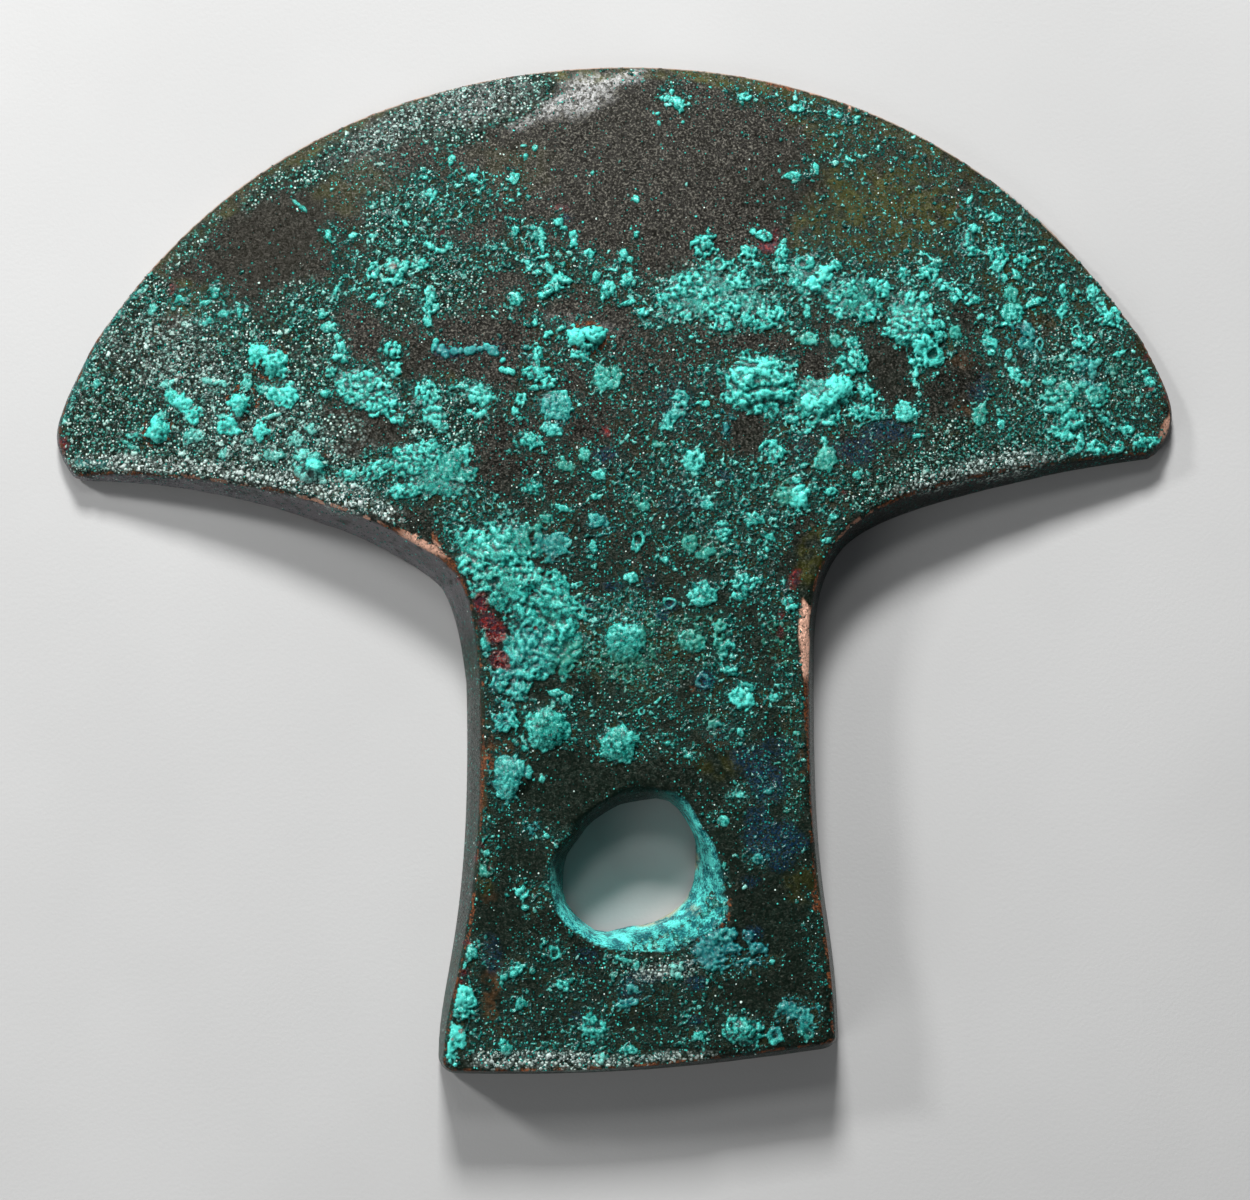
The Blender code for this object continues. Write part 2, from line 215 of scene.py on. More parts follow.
# Smooth rounded lumps of malachite
SMOOTH_LUMPS = patches(
    # left wing
    (-47.6, 27.2, 3.2, 3.0, 0.45), (-45.4, 25.4, 3.4, 3.8, 0.5, -20), (-49.0, 23.3, 1.5, 2.6, 0.5, -12),
    (-47.0, 22.6, 1.4, 1.6, 0.4), (-49.9, 20.4, 2.9, 3.2, 0.55), (-51.3, 17.4, 2.9, 2.3, 0.5, -25),
    (-52.0, 18.8, 1.9, 0.9, 0.35), (-57.9, 21.0, 4.4, 2.2, 0.5, -35), (-56.0, 19.2, 2.2, 2.4, 0.5),
    (-60.8, 16.9, 2.8, 3.6, 0.55, -15), (-60.1, 18.9, 1.9, 1.9, 0.4), (-55.8, 16.3, 2.8, 2.0, 0.5, 10),
    (-53.4, 23.4, 3.6, 1.1, 0.4, -8), (-59.6, 23.4, 2.4, 1.4, 0.4, 25), (-64.0, 16.4, 1.7, 0.9, 0.3),
    (-64.3, 15.1, 2.1, 0.7, 0.3, -30), (-69.0, 23.4, 1.3, 1.3, 0.4), (-52.0, 13.8, 1.0, 1.9, 0.35),
    (-48.7, 15.4, 1.2, 0.8, 0.35), (-46.9, 16.9, 2.2, 2.6, 0.45), (-45.6, 18.8, 2.6, 0.8, 0.35, 20),
    (-44.0, 21.5, 3.6, 3.2, 0.6), (-43.4, 22.9, 1.6, 1.2, 0.4), (-45.3, 13.6, 2.6, 1.6, 0.45),
    (-42.6, 15.6, 2.0, 2.2, 0.4), (-41.2, 13.5, 3.2, 1.9, 0.5), (-40.0, 12.2, 3.6, 2.2, 0.5, -45),
    (-39.5, 10.6, 2.6, 1.5, 0.45, -30), (-40.6, 17.0, 1.5, 2.0, 0.35), (-38.3, 30.6, 1.9, 1.6, 0.45),
    (-37.3, 29.2, 1.2, 1.0, 0.35), (-39.0, 32.4, 1.3, 1.4, 0.4), (-37.3, 35.8, 0.9, 1.9, 0.35, -15),
    (-61.8, 33.5, 1.1, 1.9, 0.3, -30), (-53.4, 35.6, 1.4, 1.9, 0.3, 20), (-54.6, 31.6, 2.0, 0.9, 0.3, 20),
    (-52.3, 32.6, 1.3, 1.0, 0.3, 20), (-50.2, 32.6, 1.2, 1.9, 0.35), (-54.8, 34.2, 1.6, 0.7, 0.25, 15),
    (-58.3, 34.7, 1.5, 0.9, 0.25, 20), (-51.9, 30.9, 1.1, 0.7, 0.25), (-36.7, 26.1, 0.9, 0.8, 0.3),
    (-32.6, 34.7, 1.4, 0.8, 0.4, 30), (-31.5, 33.9, 1.2, 1.7, 0.4, -25), (-30.0, 39.0, 2.0, 2.2, 0.3),
    (-29.0, 37.7, 1.6, 3.6, 0.7, -25), (-30.3, 36.9, 2.4, 0.9, 0.55, 10), (-25.0, 34.9, 1.7, 3.2, 0.75, 5),
    (-24.9, 33.2, 2.0, 1.6, 0.6), (-25.3, 31.4, 1.3, 1.9, 0.45), (-24.4, 21.3, 1.9, 1.2, 0.4, -30),
    (-25.7, 20.9, 1.5, 1.6, 0.4), (-25.9, 51.0, 1.6, 0.8, 0.4, -15), (-25.2, 48.9, 1.8, 1.8, 0.5),
    (-25.1, 41.6, 2.0, 0.9, 0.4, -35), (-23.7, 41.0, 1.6, 0.9, 0.45), (-22.7, 41.6, 0.8, 1.4, 0.4, -25),
    (-28.4, 44.7, 0.8, 1.4, 0.35, 25), (-38.5, 43.1, 0.7, 1.7, 0.35, 10), (-35.1, 43.1, 1.6, 0.8, 0.3, 10),
    (-32.7, 43.0, 1.6, 0.9, 0.35, 10), (-42.6, 47.4, 3.0, 0.6, 0.25, -42), (-18.4, 18.9, 1.8, 0.8, 0.4, 25),
    (-20.8, 22.6, 2.2, 0.6, 0.3, 10), (-23.5, 17.3, 1.6, 1.4, 0.3),
    # middle of the blade
    (-13.9, 43.8, 0.9, 1.3, 0.4), (-11.5, 44.1, 1.1, 0.6, 0.35), (-10.7, 43.3, 1.2, 1.7, 0.45, 30),
    (-10.4, 41.4, 0.6, 2.4, 0.35, 5), (-8.0, 44.9, 1.8, 1.4, 0.5), (-7.6, 44.2, 1.4, 0.8, 0.4),
    (-12.3, 39.1, 0.9, 2.4, 0.4, 25), (-11.0, 38.0, 1.6, 0.8, 0.4, -10), (-9.5, 38.6, 1.0, 2.0, 0.4, 25),
    (-10.1, 40.2, 2.0, 0.6, 0.3, 15), (-8.0, 37.0, 2.0, 2.0, 0.75), (-6.9, 36.7, 1.2, 0.9, 0.5),
    (-9.2, 35.7, 2.2, 1.7, 0.7, 40), (-10.2, 34.9, 1.4, 1.2, 0.5), (-13.8, 34.3, 1.6, 1.5, 0.3),
    (-3.2, 37.2, 1.3, 1.4, 0.55), (-1.7, 35.8, 1.9, 1.9, 0.6), (-2.4, 34.5, 0.8, 1.4, 0.45, -10),
    (1.0, 37.1, 2.0, 2.0, 0.6), (1.6, 36.6, 1.4, 1.2, 0.65, -30), (0.8, 33.9, 1.9, 0.7, 0.45, 15),
    (1.5, 34.2, 0.7, 0.9, 0.4), (-1.1, 38.4, 2.0, 0.6, 0.4, -5), (0.5, 40.5, 0.9, 1.1, 0.45),
    (1.2, 39.9, 0.9, 0.8, 0.35), (2.2, 43.1, 1.0, 1.2, 0.5, -10), (2.2, 48.1, 1.4, 0.9, 0.35, -30),
    (-11.2, 31.2, 1.0, 1.2, 0.45), (-9.5, 29.6, 1.5, 0.9, 0.45, 15), (-8.0, 30.4, 1.5, 0.7, 0.4, 15),
    (-5.9, 29.2, 2.4, 2.6, 0.7), (-3.5, 29.6, 2.9, 2.6, 0.8, 10), (-4.4, 27.9, 2.6, 1.2, 0.6),
    (-11.2, 9.3, 2.0, 1.6, 0.3), (-12.4, 9.1, 1.2, 1.0, 0.25), (-3.6, 1.6, 1.7, 1.7, 0.5),
    (-4.2, 0.3, 0.9, 0.6, 0.3), (5.7, -0.1, 0.9, 0.9, 0.45), (-7.7, 13.2, 0.7, 0.7, 0.35),
    (-11.3, 55.2, 0.7, 1.2, 0.25), (-10.0, 55.4, 0.8, 1.4, 0.3), (-12.8, 55.5, 0.9, 0.6, 0.2),
    (-12.6, 54.0, 0.6, 1.0, 0.2), (-3.7, 51.8, 0.5, 0.8, 0.25), (-13.4, 48.8, 0.6, 0.9, 0.2, 20),
    (-14.2, 47.9, 0.9, 0.5, 0.2), (9.2, 29.3, 0.7, 0.8, 0.3), (11.2, 25.1, 0.7, 1.1, 0.3, 10),
    # right of the middle
    (16.5, 34.8, 2.4, 0.8, 0.35, -30), (21.4, 41.0, 1.9, 3.4, 0.55), (21.5, 38.8, 1.5, 1.6, 0.45),
    (17.6, 43.9, 1.0, 1.0, 0.4), (25.4, 37.0, 2.2, 2.2, 0.6), (27.0, 38.2, 3.6, 2.2, 0.6, 42),
    (28.6, 39.3, 2.0, 1.6, 0.45), (28.9, 22.9, 4.0, 3.8, 0.55, 20), (27.2, 21.2, 4.2, 2.6, 0.55, 30),
    (24.8, 21.0, 2.6, 2.2, 0.5), (26.3, 19.6, 3.6, 1.6, 0.5), (28.2, 19.4, 1.6, 1.7, 0.45),
    (27.2, 18.0, 2.0, 0.8, 0.35), (22.6, 18.4, 2.2, 1.7, 0.5, -10), (24.4, 16.9, 0.9, 0.9, 0.4),
    (26.7, 15.7, 1.2, 1.2, 0.35), (12.6, 18.7, 1.1, 1.0, 0.4), (13.7, 17.5, 0.9, 1.3, 0.4, -15),
    (23.3, 8.2, 2.6, 3.6, 0.7, -5), (27.8, 5.6, 1.0, 1.0, 0.35), (26.9, 2.6, 1.2, 0.8, 0.3, 20),
    (13.4, 4.6, 1.6, 0.9, 0.4), (13.4, 3.4, 2.4, 1.7, 0.5), (19.3, 2.8, 2.4, 0.8, 0.3, -25),
    (19.0, 1.2, 0.9, 0.8, 0.35), (28.9, 33.0, 1.1, 1.6, 0.4), (24.5, 32.9, 1.1, 2.4, 0.3, 5),
    (30.6, 54.3, 0.9, 0.6, 0.3, -30), (34.5, 55.7, 0.8, 0.7, 0.35), (28.2, 60.8, 0.9, 1.4, 0.35),
    (32.0, 60.2, 0.8, 0.8, 0.3), (7.0, 63.4, 0.7, 0.8, 0.3), (5.2, 58.8, 0.8, 0.9, 0.25),
    (5.1, 60.2, 0.8, 0.5, 0.2), (8.4, 59.0, 0.5, 0.6, 0.25), (8.2, 60.6, 0.9, 0.8, 0.3),
    (18.3, 48.1, 0.5, 1.0, 0.2),
    # right wing
    (37.6, 38.7, 1.6, 1.6, 0.5), (40.9, 38.9, 3.4, 1.6, 0.6, 35), (41.8, 38.5, 1.2, 2.6, 0.45, -30),
    (38.7, 35.0, 2.2, 1.8, 0.6), (40.4, 35.3, 2.2, 1.9, 0.6), (41.1, 33.4, 1.4, 2.4, 0.6),
    (41.8, 31.4, 2.6, 2.0, 0.7), (42.3, 30.0, 1.8, 2.0, 0.6), (39.5, 29.3, 4.6, 1.7, 0.7, -14),
    (40.2, 28.6, 3.8, 3.2, 0.7), (41.0, 26.6, 2.6, 2.4, 0.65), (42.2, 26.9, 1.5, 2.4, 0.6, -20),
    (47.4, 45.0, 1.7, 1.3, 0.5, -20), (46.4, 43.4, 0.9, 2.6, 0.45, -10), (47.0, 41.7, 2.0, 1.6, 0.45),
    (47.0, 48.9, 0.6, 1.8, 0.25, -25), (48.0, 32.8, 1.2, 0.7, 0.35, 20), (49.3, 32.5, 1.6, 0.6, 0.3, 10),
    (54.6, 31.0, 1.6, 2.6, 0.35, 25), (54.0, 29.2, 2.4, 1.7, 0.35), (51.8, 28.0, 1.0, 1.4, 0.25),
    (54.1, 23.8, 1.2, 0.9, 0.3, 20), (39.0, 25.2, 0.9, 2.8, 0.4, -10), (50.5, 18.4, 0.9, 1.2, 0.4),
    (56.9, 42.6, 1.0, 0.9, 0.45), (56.6, 47.0, 1.0, 3.0, 0.3, 42), (55.4, 35.0, 3.4, 1.0, 0.4, 25),
    (51.3, 38.2, 1.8, 1.6, 0.4), (53.1, 38.6, 1.6, 1.8, 0.4), (58.8, 21.0, 3.6, 1.5, 0.45, 32),
    (59.8, 19.6, 2.6, 1.3, 0.4, 45), (57.0, 20.4, 2.4, 1.4, 0.4, 10), (61.6, 24.0, 2.2, 1.2, 0.4, 20),
    (63.2, 25.8, 1.4, 2.4, 0.45), (64.0, 27.0, 1.6, 0.9, 0.4, 20), (64.2, 22.8, 1.0, 2.6, 0.5),
    (63.2, 21.6, 1.4, 0.9, 0.4, -20), (61.3, 16.2, 1.2, 2.4, 0.4), (60.8, 15.2, 1.8, 0.9, 0.35, 20),
    (66.4, 15.6, 1.9, 1.7, 0.4), (65.0, 19.0, 2.4, 1.0, 0.35, -35), (66.6, 18.2, 1.2, 0.8, 0.3),
    (71.2, 16.9, 1.8, 0.6, 0.35, 10), (69.3, 17.2, 1.8, 0.6, 0.3, 20), (61.2, 29.5, 1.6, 1.2, 0.35),
    (67.0, 28.4, 1.9, 0.7, 0.35, 25), (59.3, 34.1, 1.3, 1.9, 0.4, -15), (59.4, 37.0, 0.8, 2.4, 0.35),
    (63.6, 36.6, 1.9, 2.6, 0.45), (31.0, 11.1, 1.2, 1.4, 0.35), (38.9, 16.5, 1.3, 0.8, 0.35, 15),
    (33.7, 19.0, 1.5, 1.3, 0.35),
    # tang
    (-8.4, -17.5, 1.9, 1.1, 0.5), (-7.2, -18.2, 2.2, 1.6, 0.4, -10), (-14.9, -18.9, 1.6, 1.6, 0.3),
    (-12.4, -24.6, 0.9, 0.9, 0.3), (-14.8, -31.8, 0.7, 0.6, 0.2), (-17.8, -34.0, 0.8, 0.6, 0.25),
    (-11.7, -35.0, 0.9, 0.7, 0.3), (-9.7, -35.9, 0.9, 0.6, 0.25), (-19.4, -37.3, 0.5, 1.0, 0.3, 20),
    (-17.4, -38.2, 0.9, 0.8, 0.3), (-17.8, -40.4, 1.3, 1.9, 0.35), (-19.4, -51.0, 2.1, 2.2, 0.5),
    (-20.4, -52.6, 1.4, 1.4, 0.4), (-20.2, -56.6, 3.4, 3.2, 0.7), (-20.4, -58.3, 2.8, 1.8, 0.6),
    (-21.2, -61.4, 2.6, 3.0, 0.45), (-22.2, -63.6, 2.2, 2.8, 0.4), (16.1, -16.9, 2.6, 1.6, 0.4),
    (15.6, -18.2, 3.2, 2.9, 0.6), (14.1, -14.5, 2.6, 1.3, 0.6, -10), (13.1, -12.6, 1.6, 1.6, 0.4),
    (15.9, -2.4, 1.6, 1.3, 0.5, 20), (15.0, -3.2, 1.7, 1.1, 0.45), (18.9, -30.2, 1.2, 0.7, 0.4),
    (22.6, -22.6, 1.0, 0.8, 0.35), (8.8, -25.6, 0.9, 0.7, 0.35), (6.0, -23.9, 0.7, 0.8, 0.3),
    (4.8, -18.4, 1.6, 0.6, 0.3, 40), (17.7, -38.7, 1.5, 1.3, 0.35), (10.0, -61.6, 1.5, 1.2, 0.4, -10),
    (8.6, -59.1, 1.4, 0.5, 0.25, 15), (0.3, -51.8, 2.2, 0.8, 0.35, -15), (2.0, -52.6, 1.0, 1.1, 0.3),
    (0.9, -63.4, 1.9, 1.3, 0.35), (15.6, -52.0, 1.8, 0.6, 0.35, 18), (13.4, -52.9, 2.2, 0.6, 0.3, 25),
    (-8.7, -50.5, 1.5, 1.2, 0.3),
)

# Lumps built of small round nodules
NODULAR_LUMPS = patches(
    (-40.6, 11.8, 4.4, 5.0, 0.5, 10), (10.8, 35.6, 3.4, 2.4, 0.35), (12.2, 33.4, 2.8, 3.2, 0.4),
    (-30.0, 27.5, 2.4, 2.4, 0.55), (-36.7, 27.3, 1.9, 2.8, 0.4, 10), (-29.6, 24.8, 2.2, 2.0, 0.4),
    (-34.0, 22.6, 6.6, 4.8, 0.45, -15), (-31.6, 20.4, 4.6, 3.6, 0.45, -30), (-37.9, 24.6, 1.6, 1.4, 0.5),
    (-38.6, 21.6, 1.6, 1.2, 0.4), (-25.6, 21.8, 3.0, 3.4, 0.4, 10), (-24.4, 18.8, 3.2, 2.6, 0.4),
    (-29.3, 18.2, 1.8, 1.4, 0.35), (-27.6, 12.6, 5.6, 4.4, 0.5, 30), (-25.2, 13.6, 4.8, 4.4, 0.5),
    (-31.8, 11.6, 4.6, 2.4, 0.3, 15), (-35.8, 11.2, 3.4, 1.8, 0.25), (-27.8, 9.0, 4.4, 2.4, 0.4, 10),
    (-6.2, 42.4, 1.4, 2.2, 0.3), (-4.1, 40.6, 1.4, 1.2, 0.3), (-19.2, 51.0, 2.2, 2.2, 0.25),
    (-22.5, 53.8, 1.0, 2.0, 0.2), (-26.4, 39.2, 2.0, 1.6, 0.3), (-32.6, 38.4, 1.8, 2.2, 0.3),
    (-5.4, 26.9, 3.6, 1.6, 0.35), (-11.4, 24.4, 2.4, 2.2, 0.5), (-9.6, 23.6, 2.0, 2.6, 0.5),
    (-10.8, 27.0, 1.4, 2.2, 0.4), (-11.0, 22.5, 2.6, 0.9, 0.4), (-12.0, 15.4, 3.4, 2.6, 0.35),
    (11.0, 41.9, 3.2, 3.6, 0.6, -25), (11.5, 39.1, 1.8, 1.7, 0.5), (13.1, 39.3, 1.5, 1.5, 0.45),
    (17.1, 40.8, 2.4, 2.4, 0.5), (17.8, 39.3, 2.6, 1.4, 0.45, -20), (19.0, 43.3, 2.6, 1.6, 0.5, -20),
    (15.6, 37.0, 3.6, 2.0, 0.5), (9.6, 37.3, 3.6, 2.0, 0.45, 25), (7.4, 35.3, 2.8, 2.4, 0.4),
    (14.6, 33.6, 3.0, 3.0, 0.4), (13.4, 31.2, 3.0, 2.0, 0.35), (19.6, 32.4, 4.2, 3.0, 0.4, 20),
    (16.6, 31.8, 2.6, 2.4, 0.35), (18.9, 30.9, 2.4, 1.6, 0.4), (3.0, 32.7, 1.6, 1.5, 0.45),
    (8.5, 32.4, 1.8, 1.0, 0.3), (5.4, 34.6, 2.4, 1.6, 0.3, 20), (14.6, 39.4, 1.5, 1.3, 0.35),
    (24.9, 39.6, 1.6, 1.7, 0.4), (22.9, 37.2, 2.0, 1.6, 0.3), (30.6, 26.0, 4.2, 3.2, 0.5, 20),
    (32.2, 22.2, 2.4, 3.0, 0.4), (31.6, 19.6, 3.4, 2.6, 0.4), (19.9, 14.5, 2.8, 3.6, 0.4, 20),
    (22.8, 10.3, 2.8, 1.2, 0.3), (27.6, 8.9, 1.8, 1.5, 0.45), (10.9, 20.5, 2.0, 1.1, 0.3),
    (7.7, 21.1, 2.2, 2.0, 0.25), (30.2, 35.8, 4.2, 2.8, 0.4, -10), (28.4, 34.9, 2.4, 1.8, 0.35),
    (34.9, 36.0, 2.0, 2.6, 0.5), (33.4, 37.2, 1.2, 1.2, 0.35), (32.6, 33.0, 2.6, 2.6, 0.45),
    (38.0, 31.6, 5.0, 3.0, 0.5, -10), (35.9, 30.2, 2.6, 1.6, 0.4, -20), (39.6, 33.6, 3.0, 2.4, 0.4),
    (39.4, 26.6, 2.6, 2.0, 0.4), (42.9, 37.0, 2.0, 1.6, 0.3), (44.6, 35.6, 1.8, 2.0, 0.3),
    (46.9, 35.2, 2.0, 1.8, 0.3), (49.2, 29.2, 2.2, 3.2, 0.3), (50.3, 46.6, 1.8, 1.4, 0.3),
    (50.6, 41.0, 2.4, 3.4, 0.35), (53.8, 40.6, 2.0, 1.8, 0.35), (58.6, 22.6, 5.4, 2.6, 0.35, 15),
    (66.3, 33.4, 3.4, 2.6, 0.4, 20), (64.9, 34.4, 1.6, 2.0, 0.35), (62.2, 30.0, 2.6, 2.2, 0.35),
    (61.4, 26.9, 3.0, 2.4, 0.3), (60.0, 18.6, 5.6, 3.0, 0.3, 20), (63.4, 15.2, 3.0, 1.8, 0.3),
    (70.4, 16.4, 3.4, 1.6, 0.3, 10), (71.0, 24.6, 1.4, 3.0, 0.35, 20), (68.0, 17.8, 2.0, 1.4, 0.3),
    (-15.4, -15.6, 3.0, 2.8, 0.45), (-13.2, -17.0, 3.0, 2.4, 0.4), (-14.9, -20.9, 3.2, 2.8, 0.45),
    (-12.9, -43.4, 2.0, 1.9, 0.35), (-12.3, -45.2, 1.0, 0.8, 0.25), (-14.1, -53.5, 4.4, 1.3, 0.3, 35),
    (-3.5, -60.4, 2.9, 3.8, 0.35), (-7.3, -55.2, 1.9, 1.6, 0.25), (1.2, -57.3, 2.8, 1.4, 0.25),
    (-14.9, -63.0, 1.9, 1.7, 0.3), (-2.7, -64.5, 2.2, 1.3, 0.3), (6.9, -53.4, 1.9, 2.6, 0.45),
    (13.2, -48.7, 4.4, 2.2, 0.55, 15), (16.5, -48.8, 2.0, 1.8, 0.45), (17.7, -50.2, 2.6, 1.9, 0.5, -20),
    (14.3, -50.4, 2.6, 1.5, 0.4), (11.4, -50.2, 2.8, 2.6, 0.4, 20), (11.8, -52.2, 3.4, 2.2, 0.4),
    (19.4, -52.1, 0.9, 0.7, 0.25), (15.7, -61.2, 4.8, 3.4, 0.55, -10), (14.9, -59.7, 2.6, 1.4, 0.4),
    (13.1, -9.0, 2.4, 2.4, 0.45), (13.2, -11.2, 2.6, 2.2, 0.45), (16.6, -3.4, 2.8, 1.6, 0.4, 15),
    (15.2, -4.9, 1.6, 1.0, 0.3), (9.2, -10.6, 3.2, 2.4, 0.3, -20), (22.0, -5.9, 1.9, 2.0, 0.3),
    (-19.0, -13.0, 1.4, 2.6, 0.3, 10), (-17.6, -11.0, 1.4, 2.2, 0.3, 20), (-14.0, 50.9, 1.8, 1.6, 0.2),
    (7.6, 61.6, 2.6, 1.6, 0.3), (6.1, 62.4, 1.2, 1.2, 0.25), (16.8, 62.9, 1.7, 1.4, 0.25),
    (24.1, 61.3, 1.6, 1.2, 0.25), (29.4, 60.4, 1.4, 1.0, 0.25), (23.0, 51.6, 2.4, 1.4, 0.2),
    (26.1, 52.9, 1.1, 1.8, 0.2, 20),
)

# Thin flat discs of fine grain
FLAT_DISCS = patches(
    (-18.5, 21.6, 3.8, 2.8, 0.14), (-8.4, 20.0, 4.3, 4.2, 0.32), (-9.0, 17.0, 2.8, 1.9, 0.22),
    (-2.0, 23.8, 3.7, 3.5, 0.24), (-13.0, 20.9, 1.6, 1.6, 0.18), (-14.0, 19.3, 1.1, 1.3, 0.15),
    (-4.9, 13.7, 1.7, 1.8, 0.2), (-7.2, 12.1, 1.9, 1.6, 0.2), (-2.9, 11.0, 1.9, 1.2, 0.18),
    (-2.7, 4.9, 3.2, 1.8, 0.2, -15), (-8.4, 1.9, 3.2, 3.4, 0.26), (2.9, 6.9, 1.6, 1.6, 0.2),
    (1.3, -2.4, 2.0, 1.3, 0.2), (-7.6, 6.6, 2.2, 0.9, 0.2, -20), (-3.3, 8.2, 1.4, 1.0, 0.18),
    (-9.8, 5.3, 1.9, 1.5, 0.18), (0.6, -10.8, 5.2, 5.2, 0.5), (-9.6, -22.1, 5.9, 5.7, 0.42),
    (-0.4, -24.2, 5.3, 5.0, 0.42), (-14.3, -27.3, 4.2, 3.6, 0.28), (-14.9, -29.6, 3.4, 3.4, 0.28),
    (-12.0, -27.7, 1.2, 2.0, 0.25), (-10.3, -28.7, 1.0, 1.2, 0.12), (10.6, -4.7, 3.9, 3.4, 0.45),
    (11.0, 0.8, 2.6, 1.6, 0.26, 25), (8.8, 2.0, 2.0, 2.2, 0.2), (11.3, 7.2, 1.9, 1.3, 0.2),
    (17.2, 5.2, 2.6, 1.8, 0.2), (21.2, 8.6, 2.6, 2.6, 0.3), (9.5, 13.1, 3.1, 3.5, 0.5),
    (6.5, 18.5, 2.2, 3.6, 0.22, -40), (4.9, 15.0, 2.2, 0.9, 0.15), (24.7, 29.3, 2.2, 1.8, 0.2),
    (28.4, 29.4, 1.8, 1.8, 0.18), (44.5, 30.6, 1.6, 2.4, 0.18), (52.2, 36.0, 2.4, 2.6, 0.25),
    (52.4, 25.0, 2.1, 1.9, 0.3), (37.7, 19.8, 3.1, 2.8, 0.4), (47.7, 19.5, 2.0, 2.9, 0.22),
    (53.6, 24.0, 1.0, 1.0, 0.15), (30.5, 29.0, 1.6, 1.8, 0.15), (-12.9, -57.3, 1.6, 1.6, 0.15, -30),
    (1.3, -55.7, 2.2, 1.6, 0.2), (21.6, -58.2, 3.4, 1.8, 0.12, -20), (24.0, -59.6, 2.0, 2.6, 0.12),
    (-18.4, -36.6, 1.3, 1.7, 0.16), (12.2, -21.4, 1.9, 1.0, 0.15), (15.5, -22.6, 0.9, 1.4, 0.15, 20),
    (19.8, -18.0, 1.2, 1.0, 0.15), (59.0, 17.4, 3.0, 2.4, 0.2), (57.0, 24.2, 2.6, 1.4, 0.2),
    (15.3, -30.6, 1.7, 0.9, 0.12, 20), (13.1, -34.0, 1.9, 1.4, 0.1), (26.7, 13.4, 2.8, 2.8, 0.2),
    (52.1, 33.6, 2.6, 2.8, 0.25), (63.4, 22.4, 2.4, 2.4, 0.2),
)

# Small craters with a raised rim
RINGS = patches(
    (41.2, 27.5, 1.9, 1.9, 0.75), (2.2, 2.4, 2.0, 2.5, 0.35, -10), (26.7, 13.4, 3.0, 3.0, 0.3),
    (52.1, 33.6, 2.7, 2.6, 0.3), (6.3, -5.8, 1.7, 1.6, 0.3), (10.7, -16.0, 2.2, 2.2, 0.3),
    (19.8, -61.6, 2.0, 2.2, 0.35), (24.0, -61.2, 2.4, 1.8, 0.15), (61.1, 31.2, 1.6, 1.3, 0.3),
    (56.0, 29.3, 1.3, 1.7, 0.3), (-15.0, -21.0, 1.4, 1.2, 0.3), (-12.5, 11.3, 0.8, 0.8, 0.2),
    (2.6, -19.8, 0.9, 0.9, 0.2), (-8.6, -51.0, 1.7, 1.6, 0.3), (63.4, 22.4, 2.6, 2.6, 0.35),
    (24.0, 39.6, 1.7, 1.7, 0.3), (12.9, 39.3, 1.6, 1.6, 0.3), (14.8, 38.9, 1.5, 1.5, 0.25),
    (16.2, 7.4, 1.2, 1.0, 0.2),
)

# Thin sheets of nodules that join the lobes of the thick crust
CRUST_SHEETS = patches(
    (-15.5, 1.5, 11, 7, 0.3, -6), (-14.5, -3.5, 11, 8, 0.32, -25), (-9.0, -7.0, 8, 9, 0.32, -20),
    (-11.0, -12.0, 10, 8, 0.32, 20), (-18.5, 0.5, 5, 7, 0.25, 10), (-7.5, -11.0, 5, 9, 0.25),
    (18.2, 23.0, 9.6, 8.0, 0.28), (-24.0, 11.5, 9, 7, 0.22, 20), (12.5, 35.0, 15, 6, 0.16),
    (26.5, 21.0, 8, 6, 0.25, 20), (24.5, 37.5, 6, 5, 0.16), (38.6, 32.0, 6.5, 8, 0.2),
    (30.5, 35.0, 8, 5, 0.16),
)

# Thick wrinkled crust: the mass to the left of the neck, and the oval one on the blade
CRUST_LOBES = patches(
    (-16.0, 2.4, 5.4, 3.6, 0.25), (-15.4, 0.4, 8.6, 3.6, 0.42, -6), (-18.6, -1.2, 5.0, 2.6, 0.4, -14),
    (-15.6, -2.6, 8.2, 3.4, 0.5, -16), (-12.6, -1.6, 5.0, 3.0, 0.35, -10),
    (-14.0, -4.4, 5.0, 3.0, 0.42, -30), (-9.6, -3.6, 4.4, 2.8, 0.35, -20),
    (-9.8, -5.6, 4.6, 3.0, 0.42, -25), (-7.2, -6.3, 4.0, 2.8, 0.4, 10), (-12.4, -7.6, 5.4, 3.6, 0.45, -10),
    (-7.6, -8.8, 4.8, 2.8, 0.4, 10), (-8.6, -10.4, 5.0, 2.4, 0.35, 20), (-12.4, -11.4, 5.4, 3.6, 0.5, 30),
    (-13.6, -13.0, 3.0, 2.4, 0.45, 30), (-10.0, -12.6, 4.6, 3.0, 0.4, 20), (-8.8, -13.8, 3.8, 1.8, 0.3, 15),
    (-12.2, -14.8, 4.4, 2.2, 0.32), (-6.2, -12.4, 2.6, 3.0, 0.2, 30), (-20.6, -0.6, 2.0, 3.0, 0.3, 10),
    (-18.8, 2.6, 3.4, 3.6, 0.2), (-17.4, -4.2, 2.6, 1.6, 0.35, -20), (19.0, 26.2, 3.6, 2.0, 0.3, 10),
    (18.0, 24.6, 7.6, 2.2, 0.45, 8), (16.6, 23.0, 4.6, 2.4, 0.45, -20), (20.6, 23.8, 5.2, 2.6, 0.45, -8),
    (19.4, 21.8, 6.0, 2.0, 0.5, 16), (16.0, 21.2, 3.4, 2.0, 0.42, -30), (21.6, 21.6, 2.4, 2.2, 0.4),
    (17.6, 19.8, 4.2, 2.0, 0.35, -10), (15.0, 24.6, 2.6, 2.8, 0.25),
)

